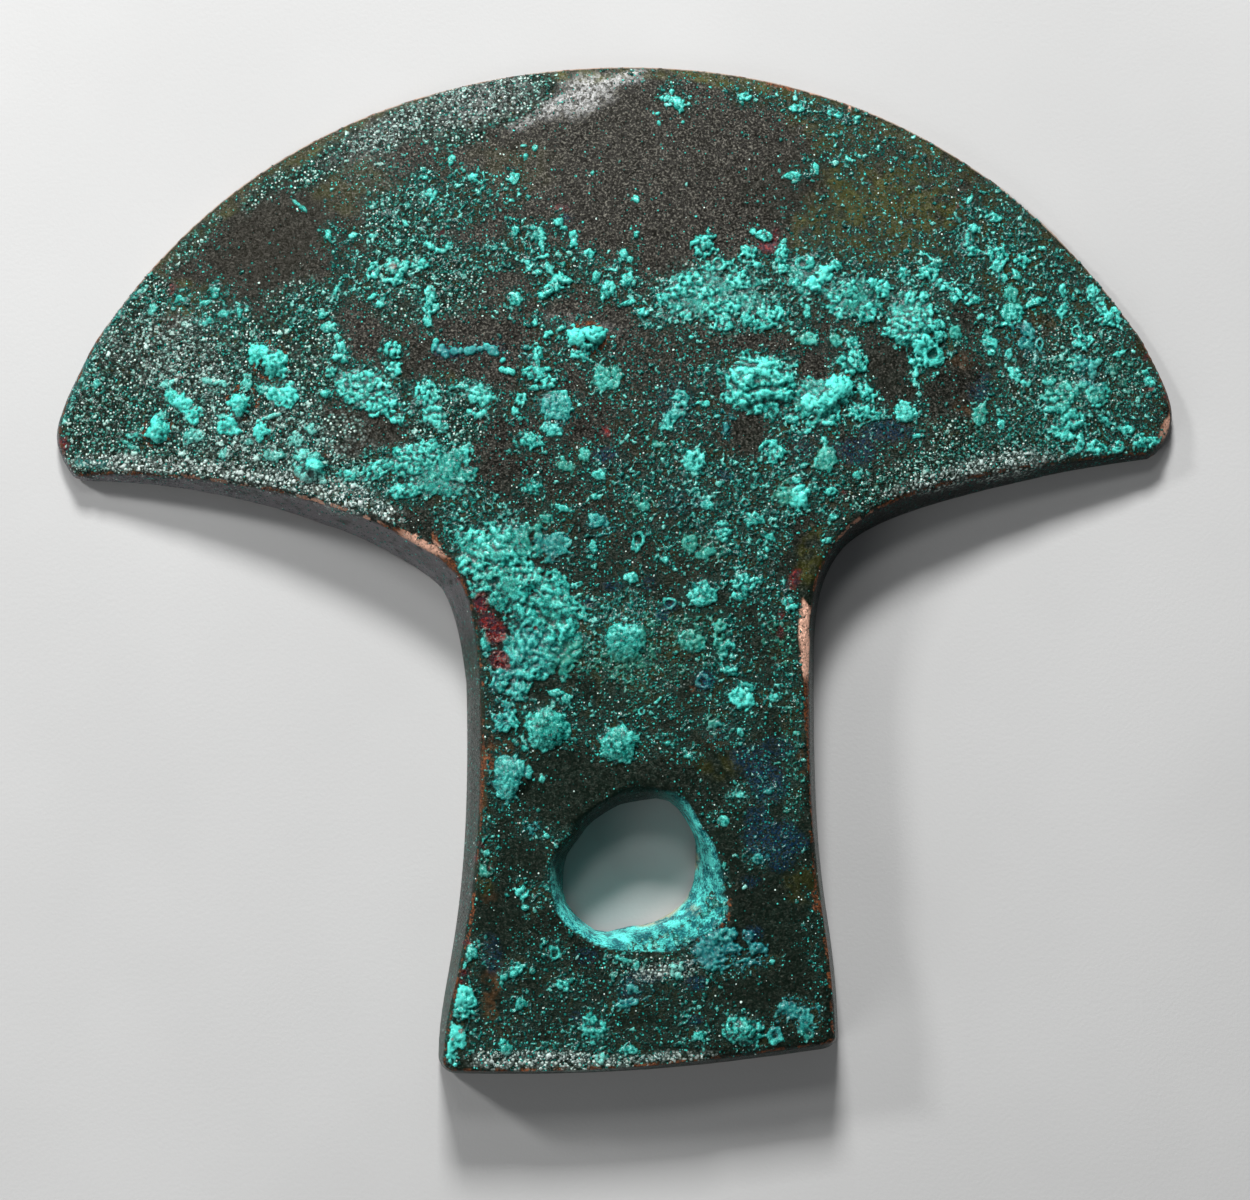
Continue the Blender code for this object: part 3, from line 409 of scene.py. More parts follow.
# Chains of round nodules, from first to last place: width of a nodule, height, and its points
Chain = namedtuple("Chain", "width height points")
NODULE_CHAINS = (
    Chain(1.3, 0.45, ((-24.6, 27.9), (-23.0, 27.1), (-21.0, 27.5), (-19.4, 27.4), (-17.6, 27.9),
                      (-16.2, 27.0), (-15.4, 26.2), (-15.6, 25.0), (-14.2, 24.5))),
    Chain(1.1, 0.4, ((-24.2, 28.6), (-23.4, 27.9), (-22.8, 26.8))),
    Chain(0.8, 0.3, ((-12.2, 25.0), (-11.2, 25.2), (-10.4, 24.6))),
    Chain(0.9, 0.3, ((20.4, -61.0), (20.6, -62.0), (19.6, -62.5))),
    Chain(0.7, 0.25, ((-19.8, 19.3), (-18.9, 18.7), (-17.8, 19.2))),
    Chain(0.8, 0.25, ((50.8, 32.0), (52.0, 31.8), (53.2, 32.3), (53.6, 33.6))),
    Chain(0.7, 0.3, ((64.6, 24.0), (65.2, 23.0), (65.0, 21.8), (64.0, 21.2), (63.0, 21.0))),
    Chain(0.8, 0.25, ((9.9, -36.6), (10.6, -37.6), (11.4, -38.6), (12.4, -39.6))),
    Chain(0.7, 0.3, ((-5.4, -35.4), (-6.4, -36.6), (-7.2, -37.6), (-7.8, -38.6))),
    Chain(0.5, 0.2, ((40.2, 41.6), (41.2, 40.9), (41.8, 39.9))),
)

# Creases between the lobes of the thick crust: half width, depth, and the points of each line
Crease = namedtuple("Crease", "width depth points")
CREASES = (
    Crease(0.4, 0.3, ((-17.0, -3.2), (-15.0, -2.6), (-13.4, -2.1), (-12.4, -2.4))),
    Crease(0.4, 0.32, ((-12.4, -6.4), (-11.2, -6.5), (-10.2, -7.6), (-8.8, -8.3), (-7.4, -8.0))),
    Crease(0.3, 0.2, ((-20.4, 0.4), (-18.4, -0.2), (-17.0, -0.4))),
    Crease(0.3, 0.25, ((14.2, 23.6), (15.4, 22.4), (16.4, 21.9))),
    Crease(0.3, 0.3, ((16.6, 21.8), (18.0, 22.6), (19.8, 22.4), (21.4, 22.9))),
    Crease(0.25, 0.2, ((15.6, 25.6), (17.4, 25.7), (19.0, 25.2), (21.4, 25.0))),
    Crease(0.25, 0.22, ((17.2, 20.2), (18.6, 21.0), (20.4, 20.8), (21.8, 20.2))),
)

# Fields of scattered grains, each with the share of the ground that its grains cover
GRAIN_FIELDS = patches(
    # left of the middle
    (-41.0, 33.5, 8, 6, 0.55), (-34.5, 37.5, 10, 8, 0.45), (-28.0, 42.0, 11, 14, 0.5, 20),
    (-22.5, 47.5, 12, 8, 0.5), (-26.0, 49.5, 9, 5, 0.4), (-17.0, 40.0, 17, 5, 0.5, 6),
    (-7.5, 39.6, 11, 5, 0.55, 5), (-33.5, 22.5, 10, 7, 0.66, -20), (-26.0, 20.5, 11, 7, 0.55),
    (-28.0, 11.0, 20, 9, 0.7, 12), (-20.5, 8.0, 9, 11, 0.72, 20), (-16.5, 5.5, 9, 5, 0.7),
    (-20.0, 3.0, 7, 6, 0.75), (-17.0, 32.5, 12, 4, 0.2), (-19.0, 20.5, 8, 4, 0.35),
    (-47.0, 24.0, 12, 12, 0.4), (-56.0, 18.5, 18, 9, 0.4), (-43.0, 14.5, 13, 9, 0.5),
    (-25.0, 36.0, 7, 9, 0.45), (-71.3, 24.0, 1.8, 15, 0.8, -24), (-65.0, 34.5, 1.6, 12, 0.7, -38),
    # right of the middle
    (12.5, 34.8, 17, 9, 0.8), (5.5, 33.5, 9, 6, 0.6), (17.5, 39.0, 12, 8, 0.7), (20.5, 32.8, 9, 6, 0.75),
    (24.0, 38.0, 9, 8, 0.62), (25.0, 43.0, 9, 5, 0.32), (30.0, 36.0, 9, 8, 0.7), (35.0, 36.0, 9, 7, 0.55),
    (33.0, 33.0, 7, 5, 0.55), (27.0, 48.0, 9, 9, 0.18), (30.5, 56.0, 10, 11, 0.25, 30),
    (27.0, 61.0, 12, 3, 0.4, -20), (18.5, 62.5, 9, 3, 0.3, -14), (40.0, 53.0, 15, 9, 0.2, -35),
    (36.0, 46.0, 14, 9, 0.16), (33.0, 42.0, 9, 5, 0.25), (42.0, 43.5, 9, 6, 0.28), (12.0, 47.0, 5, 3, 0.12),
    (20.5, 46.0, 6, 5, 0.22), (30.5, 25.0, 6, 8, 0.6), (31.5, 19.5, 7, 6, 0.55), (24.0, 18.0, 10, 5, 0.5),
    (18.2, 23.0, 12, 10, 0.62), (27.0, 28.5, 8, 4, 0.16),
    # right wing
    (38.8, 32.0, 10, 9, 0.62), (40.5, 38.5, 10, 7, 0.62), (40.0, 26.0, 6, 5, 0.55),
    (46.5, 42.0, 6, 12, 0.55), (52.0, 47.0, 9, 12, 0.42, 35), (54.0, 41.0, 12, 9, 0.52),
    (46.0, 36.0, 8, 6, 0.45), (53.0, 35.5, 10, 9, 0.5), (60.0, 36.0, 12, 11, 0.45, -25),
    (63.0, 31.0, 12, 10, 0.42), (50.5, 29.0, 8, 6, 0.35), (58.5, 21.0, 13, 13, 0.6),
    (65.0, 21.5, 16, 14, 0.5), (63.0, 15.5, 18, 4, 0.55, 5), (63.0, 12.4, 18, 4, 0.7, 6),
    (50.5, 21.5, 9, 7, 0.4), (50.5, 15.0, 16, 5, 0.5, 10), (36.0, 15.0, 14, 8, 0.2),
    # middle and neck
    (8.0, 25.0, 20, 15, 0.17), (5.0, 16.0, 18, 14, 0.28), (14.0, 8.0, 28, 16, 0.62),
    (22.0, 12.0, 12, 9, 0.32), (10.5, 19.5, 9, 8, 0.28), (-1.0, 2.0, 18, 14, 0.15),
    (28.0, 8.0, 10, 8, 0.34, 20), (-8.0, 12.0, 10, 8, 0.15), (0.5, -10.0, 12, 13, 0.72),
    (-5.5, -12.0, 5, 7, 0.5), (3.0, -15.0, 14, 4, 0.45), (13.0, -10.5, 9, 8, 0.5), (16.0, -2.5, 8, 8, 0.4),
    (20.5, -8.0, 6, 11, 0.42), (21.5, -17.0, 4, 14, 0.42), (22.2, -28.0, 3, 14, 0.35),
    (15.0, -15.5, 9, 9, 0.42), (7.5, -2.0, 9, 7, 0.18),
    # tang
    (3.5, -18.5, 18, 6, 0.28), (13.0, -21.0, 14, 5, 0.26), (6.0, -24.5, 9, 4, 0.16),
    (18.5, -28.5, 5, 10, 0.16), (19.0, -36.5, 9, 7, 0.16), (-16.0, -16.5, 6, 7, 0.3),
    (-7.0, -37.0, 6, 3.4, 0.5, 45), (-8.7, -41.5, 2.6, 9, 0.55, 8), (11.0, -38.5, 2.4, 8, 0.45, 40),
    (13.5, -51.0, 12, 6, 0.55), (-4.0, -56.5, 20, 8, 0.17), (8.0, -57.5, 14, 6, 0.2),
    (3.0, -61.5, 22, 4, 0.24), (-12.0, -63.6, 18, 3, 0.45, -2), (2.0, -64.2, 14, 2, 0.4),
    (-15.5, -60.5, 8, 5, 0.26), (-11.0, -49.0, 12, 6, 0.08), (24.8, -49.0, 3.4, 16, 0.16),
    (15.8, -61.2, 8, 5, 0.32), (-20.0, -56.0, 4, 16, 0.25),
)

# Fields whose ground is rough with fine dull grains, and how much of it they cover
DULL_FIELDS = patches(
    (-65.0, 20.5, 18, 19, 0.5), (-57.0, 24.5, 24, 13, 0.55), (-50.0, 16.5, 26, 15, 0.5),
    (-63.5, 33.0, 6, 12, 0.5, -32), (-47.0, 29.5, 10, 4, 0.45, -10), (-40.5, 24.0, 8, 6, 0.4),
    (-39.5, 29.0, 8, 5, 0.4, -20), (-52.0, 11.2, 42, 3.2, 0.55, -3), (-36.5, 11.5, 10, 4, 0.5, -3),
    (-41.5, 34.0, 11, 8, 0.3), (-23.0, 36.5, 10, 8, 0.35), (-28.8, 32.4, 7, 4, 0.3),
    (-23.0, 17.0, 9, 8, 0.5, 20), (-28.0, 42.0, 13, 16, 0.3, 20), (-53.5, 33.0, 10, 6, 0.15),
    (-18.0, 61.6, 19, 7, 0.5, 14), (-29.0, 58.3, 14, 5, 0.5, 26), (-38.5, 53.8, 13, 3.6, 0.4, 38),
    (-47.0, 49.6, 9, 2.6, 0.35, 40), (-21.5, 57.2, 7, 3, 0.4, 10), (-11.5, 63.8, 7, 5, 0.4, 10),
    (-56.5, 42.5, 2.4, 12, 0.25, -42), (-33.0, 52.0, 10, 5, 0.1), (42.0, 12.5, 16, 5, 0.5, 14),
    (34.0, 10.0, 12, 4, 0.45, 22), (46.0, 13.0, 24, 3, 0.55, 15), (44.5, 17.0, 9, 5, 0.3),
    (40.0, 36.0, 12, 12, 0.2), (12.5, 34.8, 19, 10, 0.25), (0.5, -10.0, 14, 14, 0.18),
    (3.0, -15.0, 14, 6, 0.14), (60.0, 24.0, 18, 18, 0.25), (-9.0, -64.6, 24, 2.4, 0.4, -2),
    (5.0, -53.0, 12, 3, 0.4),
)

# Smooth brown ground that almost no grain has settled on
BARE_PATCHES = patches(
    (-46.5, 43.5, 15, 12, 1.0, 25), (-44.5, 39.0, 9, 7, 0.8), (-34.0, 17.2, 11, 4.6, 1.0, -8),
    (-36.0, 14.2, 5, 2.4, 0.8), (-33.5, 29.0, 5, 5, 0.9), (-27.0, 25.5, 4, 4, 0.9),
    (-17.0, 25.0, 6, 4, 0.8), (-18.0, 30.5, 16, 2.6, 0.8, -6), (3.0, 52.0, 44, 22, 0.95, -14),
    (-14.0, 54.5, 14, 6, 0.8, 10), (6.0, 42.0, 9, 9, 0.95), (-4.0, 46.0, 8, 5, 0.9),
    (-3.0, 61.0, 16, 7, 0.95, 15), (17.0, 56.5, 16, 8, 0.9, -15), (-1.0, 31.5, 5, 4, 0.8),
    (-7.0, 33.0, 6, 2.4, 0.7, 10), (16.5, 16.3, 4.6, 7.4, 1.0), (25.4, 25.2, 3.2, 5.6, 1.0),
    (16.5, 29.0, 9, 2.0, 0.8), (35.4, 26.6, 5.4, 6.4, 1.0, 10), (36.0, 23.0, 5, 5, 0.8),
    (44.0, 23.5, 7, 7, 0.6), (46.0, 32.4, 2.6, 4, 0.9), (56.5, 32.0, 4, 3.4, 0.9), (45.5, 19.0, 3, 5, 0.7),
    (-17.0, 10.5, 5, 5, 0.8), (-12.5, 17.6, 5, 2.4, 0.6, -10), (-5.0, 17.0, 6, 3, 0.7),
    (-3.0, 7.0, 4, 2, 0.5), (4.5, 5.2, 4, 2, 0.5), (24.0, 3.5, 4, 6, 0.9, -10), (24.2, -2.0, 3, 8, 1.0),
    (17.0, -11.0, 2.4, 4, 0.9), (13.0, -5.0, 1.6, 2.4, 0.8), (5.6, -10.6, 2, 5, 0.8),
    (-10.0, -17.0, 5, 2.6, 0.9, 10), (-8.0, -29.0, 14, 9, 0.95), (4.0, -28.0, 14, 3.6, 0.85),
    (13.0, -27.8, 6, 4, 0.95), (13.5, -35.5, 4, 6, 0.6), (19.0, -47.0, 9, 9, 1.0),
    (17.0, -56.8, 8, 3.4, 1.0), (22.5, -42.0, 6, 3, 0.9), (-15.0, -46.0, 6, 9, 0.85),
    (-12.0, -38.5, 7, 4, 0.6), (-16.8, -55.5, 2.4, 5, 0.8), (8.4, -16.8, 3, 3.4, 0.7),
    (21.5, -54.0, 6, 5, 0.7), (40.5, 47.5, 8, 6, 0.4),
)

# Olive ground
OLIVE_ZONES = patches(
    (38.0, 48.5, 17, 13, 1.0, -20), (27.0, 44.0, 8, 9, 0.7), (-58.0, 35.0, 8, 5, 0.8),
    (36.0, 42.5, 18, 8, 0.8), (50.0, 42.0, 12, 14, 0.6), (60.0, 33.0, 12, 10, 0.5),
    (60.0, 21.0, 14, 8, 0.7), (-60.0, 22.0, 14, 12, 0.4), (30.5, 57.0, 16, 8, 0.6, -25),
    (-23.5, 23.0, 5, 3, 0.6), (-49.0, 26.0, 6, 6, 0.4), (24.6, 0.5, 3.6, 7, 1.0, -12),
    (-5.0, 65.6, 9, 1.8, 1.0, -2), (17.0, 64.6, 22, 2.4, 0.9, -12), (42.0, 56.5, 20, 3, 0.7, -31),
    (-38.0, 56.2, 18, 2.2, 0.9, 34), (23.5, -42.5, 5, 5, 0.6), (12.0, -27.0, 5, 3, 0.6),
    (57.0, 23.4, 5, 4, 0.8), (63.4, 17.2, 3, 2.4, 0.9), (22.5, 17.2, 4, 2, 0.7),
    (-17.6, -41.6, 2.4, 4, 0.7), (3.0, -14.0, 10, 4, 0.4), (1.0, -11.0, 14, 13, 0.7),
    (43.6, 29.2, 2, 3, 0.7), (-14.0, 52.0, 10, 8, 0.2), (-35.0, 50.0, 10, 8, 0.4),
    (9.8, -39.5, 1.6, 3, 0.9),
)

# Darker brown ground
DARK_ZONES = patches(
    (-45.5, 42.5, 24, 18, 0.85, 25), (-34.0, 17.2, 13, 6, 0.5, -8), (36.0, 24.5, 9, 10, 0.4),
    (16.5, 17.0, 6, 9, 0.3), (26.0, 50.0, 16, 14, 0.8), (-27.0, 25.5, 8, 8, 0.4),
)

# Rusty stains
RUST_ZONES = patches(
    (-16.8, -55.6, 3.2, 6.4, 1.0), (-17.4, -25.6, 2.2, 5.4, 1.0), (-18.0, -31.0, 1.4, 9, 0.9, 2),
    (45.5, 20.6, 3.4, 2.6, 0.7), (13.0, -23.4, 4, 3, 0.4), (-51.8, 29.4, 4, 2.4, 0.6),
    (-48.8, 29.0, 2.6, 1.6, 0.6), (45.0, 26.8, 4, 3, 0.4), (-15.0, -24.5, 4, 3, 0.4),
    (56.5, 32.0, 4, 3.4, 0.4), (-21.0, 62.0, 3, 1.0, 0.7, 10), (23.4, -26.6, 1.4, 5, 0.7),
    (10.0, 11.0, 3, 1.6, 0.4), (-17.0, -44.0, 2, 2, 0.4), (42.0, 17.0, 4, 3, 0.4),
)

# Red spots
CUPRITE_ZONES = patches(
    (-18.3, -5.8, 2.2, 2.8, 1.0, 20), (-17.4, -8.2, 2.6, 2.0, 1.0, 20), (-16.2, -9.6, 2.6, 3.0, 1.0, 20),
    (-15.8, -13.2, 2.4, 2.2, 1.0, -20), (-15.0, -14.0, 1.4, 1.0, 0.9), (20.4, 42.4, 0.8, 3.6, 1.0, -15),
    (19.3, 41.7, 1.9, 1.2, 1.0, -15), (22.8, -1.9, 1.2, 1.0, 1.0, 10), (22.4, -3.0, 1.2, 2.2, 0.8, -20),
    (-2.0, 16.7, 1.0, 1.6, 1.0, 25), (20.9, -7.0, 0.4, 1.8, 0.9), (20.7, -9.4, 0.4, 1.6, 0.9),
    (28.9, 8.7, 0.4, 0.4, 1.0), (-11.2, -9.0, 0.6, 0.5, 1.0), (45.2, 48.0, 0.5, 0.7, 1.0),
    (46.2, 47.1, 0.6, 0.4, 1.0), (-18.2, -37.0, 0.7, 0.6, 0.9), (-18.8, -38.8, 0.6, 1.0, 0.9),
    (-17.1, -40.0, 0.4, 0.5, 0.9), (-19.9, -49.6, 1.2, 0.8, 1.0), (-20.2, -53.4, 1.4, 1.0, 1.0),
    (-20.6, -54.6, 1.2, 0.6, 0.9), (-20.6, -60.9, 0.5, 0.5, 0.9), (-21.7, -61.9, 0.4, 0.3, 0.9),
    (-59.2, 36.2, 0.9, 1.6, 0.7, 10), (-23.4, 43.4, 0.9, 0.4, 0.9), (-30.1, 38.8, 1.0, 0.8, 0.7),
    (-58.0, 24.2, 1.4, 0.5, 0.6), (-21.2, -2.6, 0.5, 0.6, 0.9), (-73.2, 15.4, 1.4, 2.0, 0.9, 10),
    (71.2, 23.6, 0.9, 0.5, 0.8), (73.4, 22.6, 0.5, 1.0, 0.9), (70.8, 28.0, 0.6, 1.0, 0.8),
    (-18.4, 17.8, 0.8, 0.6, 0.7), (-60.4, 21.0, 0.8, 0.4, 0.6), (38.0, 38.6, 0.4, 0.4, 0.8),
    (-8.0, 47.0, 3.0, 0.5, 0.5), (20.0, 56.0, 0.3, 1.0, 0.5, -30), (18.5, 55.2, 0.4, 0.4, 0.6),
)

# Copper that wear has laid bare
COPPER_ZONES = patches(
    (-26.4, 2.2, 8, 1.6, 1.0, -28), (-22.4, -0.6, 3.6, 1.2, 0.9, -52), (24.0, -11.0, 1.5, 11, 1.0),
    (-18.5, -24.0, 1.2, 22, 0.9, 1), (-17.2, -26.4, 1.6, 2.4, 0.8), (-17.0, -23.8, 0.8, 2.4, 0.6),
    (23.8, -10.0, 1.3, 10, 1.0), (24.2, -18.0, 0.9, 10, 0.9, -1), (25.2, -44.0, 0.8, 5, 0.8),
    (73.0, 18.2, 1.4, 4.4, 1.0, -22), (41.2, 27.5, 0.9, 0.9, 1.0), (22.0, 64.4, 6, 0.9, 0.9, -18),
    (26.0, 63.6, 2, 0.5, 0.8, -14), (31.0, 61.4, 0.6, 1.4, 0.9), (35.0, 60.5, 4, 0.6, 0.6, -24),
    (50.4, 52.6, 6, 1.2, 0.6, -40), (54.6, 48.8, 3, 0.6, 0.5, -45), (-27.5, 63.0, 4, 0.4, 0.7, 26),
    (-34.0, 60.4, 3, 0.4, 0.6, 30), (-56.8, 11.2, 2.6, 0.6, 0.9, -6), (-63.3, 11.5, 0.7, 0.5, 0.8),
    (-24.0, 2.4, 3, 0.8, 0.9, -48), (-21.6, -0.9, 2.6, 0.6, 0.8, -60), (9.2, -16.8, 1.0, 1.4, 0.7),
    (9.9, -18.2, 0.6, 0.8, 0.7), (22.6, -3.6, 0.8, 1.0, 0.7), (-9.3, 46.9, 1.0, 0.5, 0.6),
    (25.2, -45.2, 1.3, 1.4, 0.8), (-71.8, 12.8, 0.7, 2.4, 0.5, 40), (71.8, 27.6, 0.7, 2.6, 0.6, 18),
)

# Where the bare copper is bright
BRIGHT_ZONES = patches(
    (24.0, -10.5, 1.8, 10, 1.0), (41.2, 27.5, 0.9, 0.9, 0.8), (73.2, 18.4, 1.2, 4, 0.7, -22),
    (26.0, 63.6, 3, 0.6, 0.7, -14), (31.0, 61.4, 0.7, 1.4, 0.7), (-25.8, 2.0, 7, 1.4, 0.8, -28),
    (-36.0, 6.6, 12, 1.8, 0.5, -18), (-52.0, 10.6, 16, 1.6, 0.3, -6), (30.0, 4.6, 10, 1.6, 0.3, 28),
)

# Painted sheen: pale polished patches on the smooth metal that stand for reflected light
PAINTED_SHEEN_ZONES = patches(
    (-5.0, 62.8, 9, 5.4, 0.8, 22), (-8.0, 61.5, 8, 2.4, 0.9, 30), (-1.0, 64.6, 8, 1.8, 0.9, 10),
    (1.6, 66.0, 5, 1.0, 1.0, 20), (-30.0, 58.0, 20, 4, 0.35, 28), (-18.0, 62.0, 14, 5, 0.6, 12),
    (-12.0, 59.0, 6, 1.4, 0.6, 25), (-5.0, 31.0, 10, 2.0, 0.25, -10),
)

# Rims and ground with pale grit and painted glints
GRIT_AND_GLINT_ZONES = patches(
    (-60.0, 12.4, 20, 2.0, 1.0, -3), (-48.0, 11.0, 14, 2.8, 0.9, -7), (-37.5, 8.6, 13, 3.8, 1.0, -16),
    (-31.0, 6.4, 7, 2.2, 0.9, -24), (-66.5, 13.2, 7, 1.8, 1.0), (-10.0, -64.9, 20, 2.4, 1.0, -2),
    (6.0, -53.2, 8, 2.0, 0.9, 8), (50.0, 12.8, 14, 3.0, 0.9, 10), (41.0, 10.4, 12, 2.4, 0.8, 14),
    (-20.0, 61.4, 18, 6, 0.45, 14), (-30.0, 57.8, 12, 4, 0.4, 26), (-46.0, 16.0, 22, 9, 0.3),
    (-59.0, 27.0, 16, 10, 0.3, -20), (6.0, -64.4, 12, 1.6, 0.7, 3),
)

# Thin pale coat of malachite on the left outline
COAT_ZONES = patches(
    (-71.9, 23.4, 1.2, 12, 0.2, -24), (-66.6, 33.0, 1.1, 9, 0.2, -38), (-69.5, 12.9, 4, 0.9, 0.3),
)

# Blue ground
AZURITE_ZONES = patches(
    (19.5, -36.4, 8, 4.4, 0.9), (20.4, -39.2, 3, 2.6, 0.9), (19.0, -29.0, 5, 5, 0.7),
    (17.6, -33.6, 3, 3, 0.7), (16.6, -26.0, 4, 3, 0.6), (20.4, -24.6, 5, 3, 0.5), (35.0, 17.0, 7, 3, 0.8),
    (31.0, 14.6, 6, 3.4, 0.6), (5.2, -7.2, 1.4, 1.4, 1.0), (6.4, -6.0, 1.7, 1.6, 0.9),
    (-4.2, -5.7, 1.0, 0.9, 1.0), (10.7, -15.9, 2.2, 2.2, 1.0), (-2.4, 13.6, 3, 1.4, 0.8),
    (-1.2, -3.6, 3, 1.4, 0.6), (3.6, -3.2, 2, 2, 0.5), (13.2, 11.0, 2.4, 1.4, 0.7), (47.4, 22.8, 3, 3, 0.6),
    (48.2, 24.4, 1.4, 1.0, 0.7), (9.6, -54.8, 2.4, 2.0, 0.8), (9.4, -59.6, 2.0, 1.6, 0.7),
    (-16.6, -51.2, 2.4, 5, 0.5, 10), (1.2, -56.0, 2.8, 3, 0.5), (-5.8, -59.0, 1.2, 1.2, 0.7),
    (17.0, -48.4, 2.4, 1.6, 0.8), (-22.4, 27.2, 4, 1.6, 0.6), (-18.0, 27.6, 6, 1.4, 0.4),
    (13.8, 17.2, 1.4, 1.6, 0.6), (-7.0, 45.3, 0.8, 0.7, 0.9), (12.6, -22.2, 3, 2, 0.4),
    (24.0, 15.0, 4, 3, 0.3), (7.0, 20.0, 5, 6, 0.3), (-4.6, -51.4, 3, 2, 0.5), (16.8, -41.8, 2.4, 1.6, 0.7),
    (3.0, -54.0, 5, 1.6, 0.5), (8.0, 7.6, 5, 3, 0.3),
)

# Crust of a bluer green
TEAL_ZONES = patches(
    (-20.0, 27.2, 13, 4, 0.8), (14.5, -50.5, 12, 7, 1.0), (13.6, 17.5, 3, 5, 0.7), (-8.4, 19.0, 5, 7, 0.4),
    (-8.5, 1.8, 5, 5, 0.6), (-2.7, 4.8, 5, 4, 0.6), (-15.5, -17.0, 6, 10, 0.4), (-14.4, -28.5, 6, 8, 0.4),
    (63.0, 26.0, 4, 5, 0.5), (54.0, 29.8, 6, 5, 0.7), (17.8, -38.8, 3, 3, 0.6), (-12.5, -12.0, 8, 8, 0.4),
    (2.0, -56.0, 5, 5, 0.6), (22.0, -59.0, 8, 6, 0.7), (-11.6, -35.0, 2, 2, 0.8),
)

# Crust of a deeper green
GREEN_ZONES = patches(
    (1.5, -15.0, 14, 6, 0.9), (4.6, -10.0, 4, 9, 0.8), (10.0, -10.0, 8, 6, 0.7), (20.8, -11.0, 5, 6, 1.0),
    (21.8, -28.0, 4, 18, 0.6), (-6.0, -13.5, 6, 5, 0.6), (-9.8, 3.5, 5, 8, 0.5), (21.0, 8.6, 3, 4, 0.8),
    (11.0, 0.8, 4, 4, 0.6), (8.8, 2.0, 3, 3, 0.7), (26.6, 13.4, 4, 4, 0.6), (24.7, 29.3, 3, 3, 0.6),
    (28.4, 29.4, 3, 3, 0.5), (45.0, 30.6, 4, 4, 0.5), (-2.0, 23.8, 5, 4, 0.4), (-7.2, 12.2, 3, 3, 0.7),
    (-4.9, 13.8, 3, 3, 0.6), (52.2, 36.0, 4, 4, 0.5), (12.4, -21.4, 4, 3, 0.7), (1.0, -19.4, 2, 2, 0.8),
    (60.0, 24.0, 8, 7, 0.4), (-17.8, -40.0, 3, 4, 0.7), (47.7, 19.5, 3, 4, 0.5), (2.6, 6.9, 3, 3, 0.6),
    (4.9, 15.0, 3, 2, 0.7), (-62.0, 13.4, 8, 3, 0.5), (66.0, 24.0, 8, 8, 0.5),
)

# Pale sand on the lower wall of the hole
SAND_ZONES = patches(
    (7.0, -45.5, 5, 1.4, 1.0, 40), (4.0, -47.2, 3.4, 1.2, 1.0, 20), (9.6, -45.6, 1.6, 1.4, 0.8),
    (9.8, -39.4, 1.2, 2.6, 1.0),
)

# Tints of the patina and the crust, with the painted sheen and glints: where they lie, how ragged their
# outlines are and how soft
TINTS = {
    "olive": (OLIVE_ZONES, 1.0, 0.5),
    "dark": (DARK_ZONES, 1.0, 1.1),
    "rust": (RUST_ZONES, 1.0, 0.5),
    "cuprite": (CUPRITE_ZONES, 1.0, 0.4),
    "copper": (COPPER_ZONES, 0.6, 0.4),
    "bright": (BRIGHT_ZONES, 0.6, 0.4),
    "haze": (PAINTED_SHEEN_ZONES, 0.8, 0.8),
    "grit": (GRIT_AND_GLINT_ZONES, 0.8, 0.8),
    "coat": (COAT_ZONES, 1.0, 0.6),
    "azurite": (AZURITE_ZONES, 1.0, 0.5),
    "teal": (TEAL_ZONES, 1.0, 0.5),
    "green": (GREEN_ZONES, 1.0, 0.5),
    "sand": (SAND_ZONES, 1.0, 0.5),
}

# Sizes of the specks of malachite in the metal's shader: cells to a millimetre, share and shift of the cells
SPECK_SIZES = ((2.2, 0.6, 0.0), (3.3, 1.0, 31.0))

# How strongly the patina and the crust reflect light
METAL_SHINE = 0.17
CRUST_SHINE = 0.4

# Colours
METAL_DARK = (0.0058, 0.0145, 0.009)
DARK_BROWN = (0.0085, 0.0065, 0.0035)
METAL_BROWN = (0.0072, 0.0066, 0.0044)
OLIVE = (0.036, 0.038, 0.006)
RUST = (0.07, 0.036, 0.014)
FILM = (0.01, 0.05, 0.038)
# Pale copper of the worn edge line, partly a painted rim highlight
WORN_EDGE_HIGHLIGHT = (0.46, 0.36, 0.29)
SANDY = (0.115, 0.11, 0.09)
# Painted light on the left side faces, over their grey
PAINTED_LIT_WALL = (0.27, 0.255, 0.275)
# Painted shade on the right side faces
PAINTED_SHADED_WALL = (0.0015, 0.003, 0.0025)
GOLDEN = (0.046, 0.05, 0.02)
GOLDEN_FILM = (0.034, 0.042, 0.014)
CUPRITE = (0.2, 0.018, 0.016)
CUPRITE_DARK = (0.045, 0.014, 0.022)
BARE_COPPER = (0.95, 0.55, 0.4)
BROWN_COPPER = (0.26, 0.085, 0.031)
WORN_BROWN = (0.05, 0.022, 0.012)
AZURITE = (0.002, 0.03, 0.075)
MALACHITE = (0.008, 0.27, 0.222)
MALACHITE_DEEP = (0.001, 0.036, 0.031)
MALACHITE_PALE = (0.07, 0.64, 0.55)
COAT_PALE = (0.14, 0.92, 0.83)
MALACHITE_GREEN = (0.018, 0.18, 0.12)
MALACHITE_TEAL = (0.006, 0.14, 0.16)
DULL_GRAIN = (0.045, 0.31, 0.245)
DULL_GROUND = (0.007, 0.0095, 0.004)
EARTH = (0.012, 0.026, 0.016)
# Pale frost of painted glints on the crust in the grit zones
PAINTED_GLINT_FROST = (0.56, 0.66, 0.63)
SAND = (0.42, 0.40, 0.27)
# Pale grains that also stand for painted glints
PAINTED_GLINT_GRAIN = (0.74, 0.92, 0.85)
# Painted sheen
PAINTED_SHEEN = (0.26, 0.265, 0.26)
FLOOR_GREY = (0.50, 0.50, 0.495)
FLOOR_PALE = (0.53, 0.53, 0.525)


# Maps over the front face

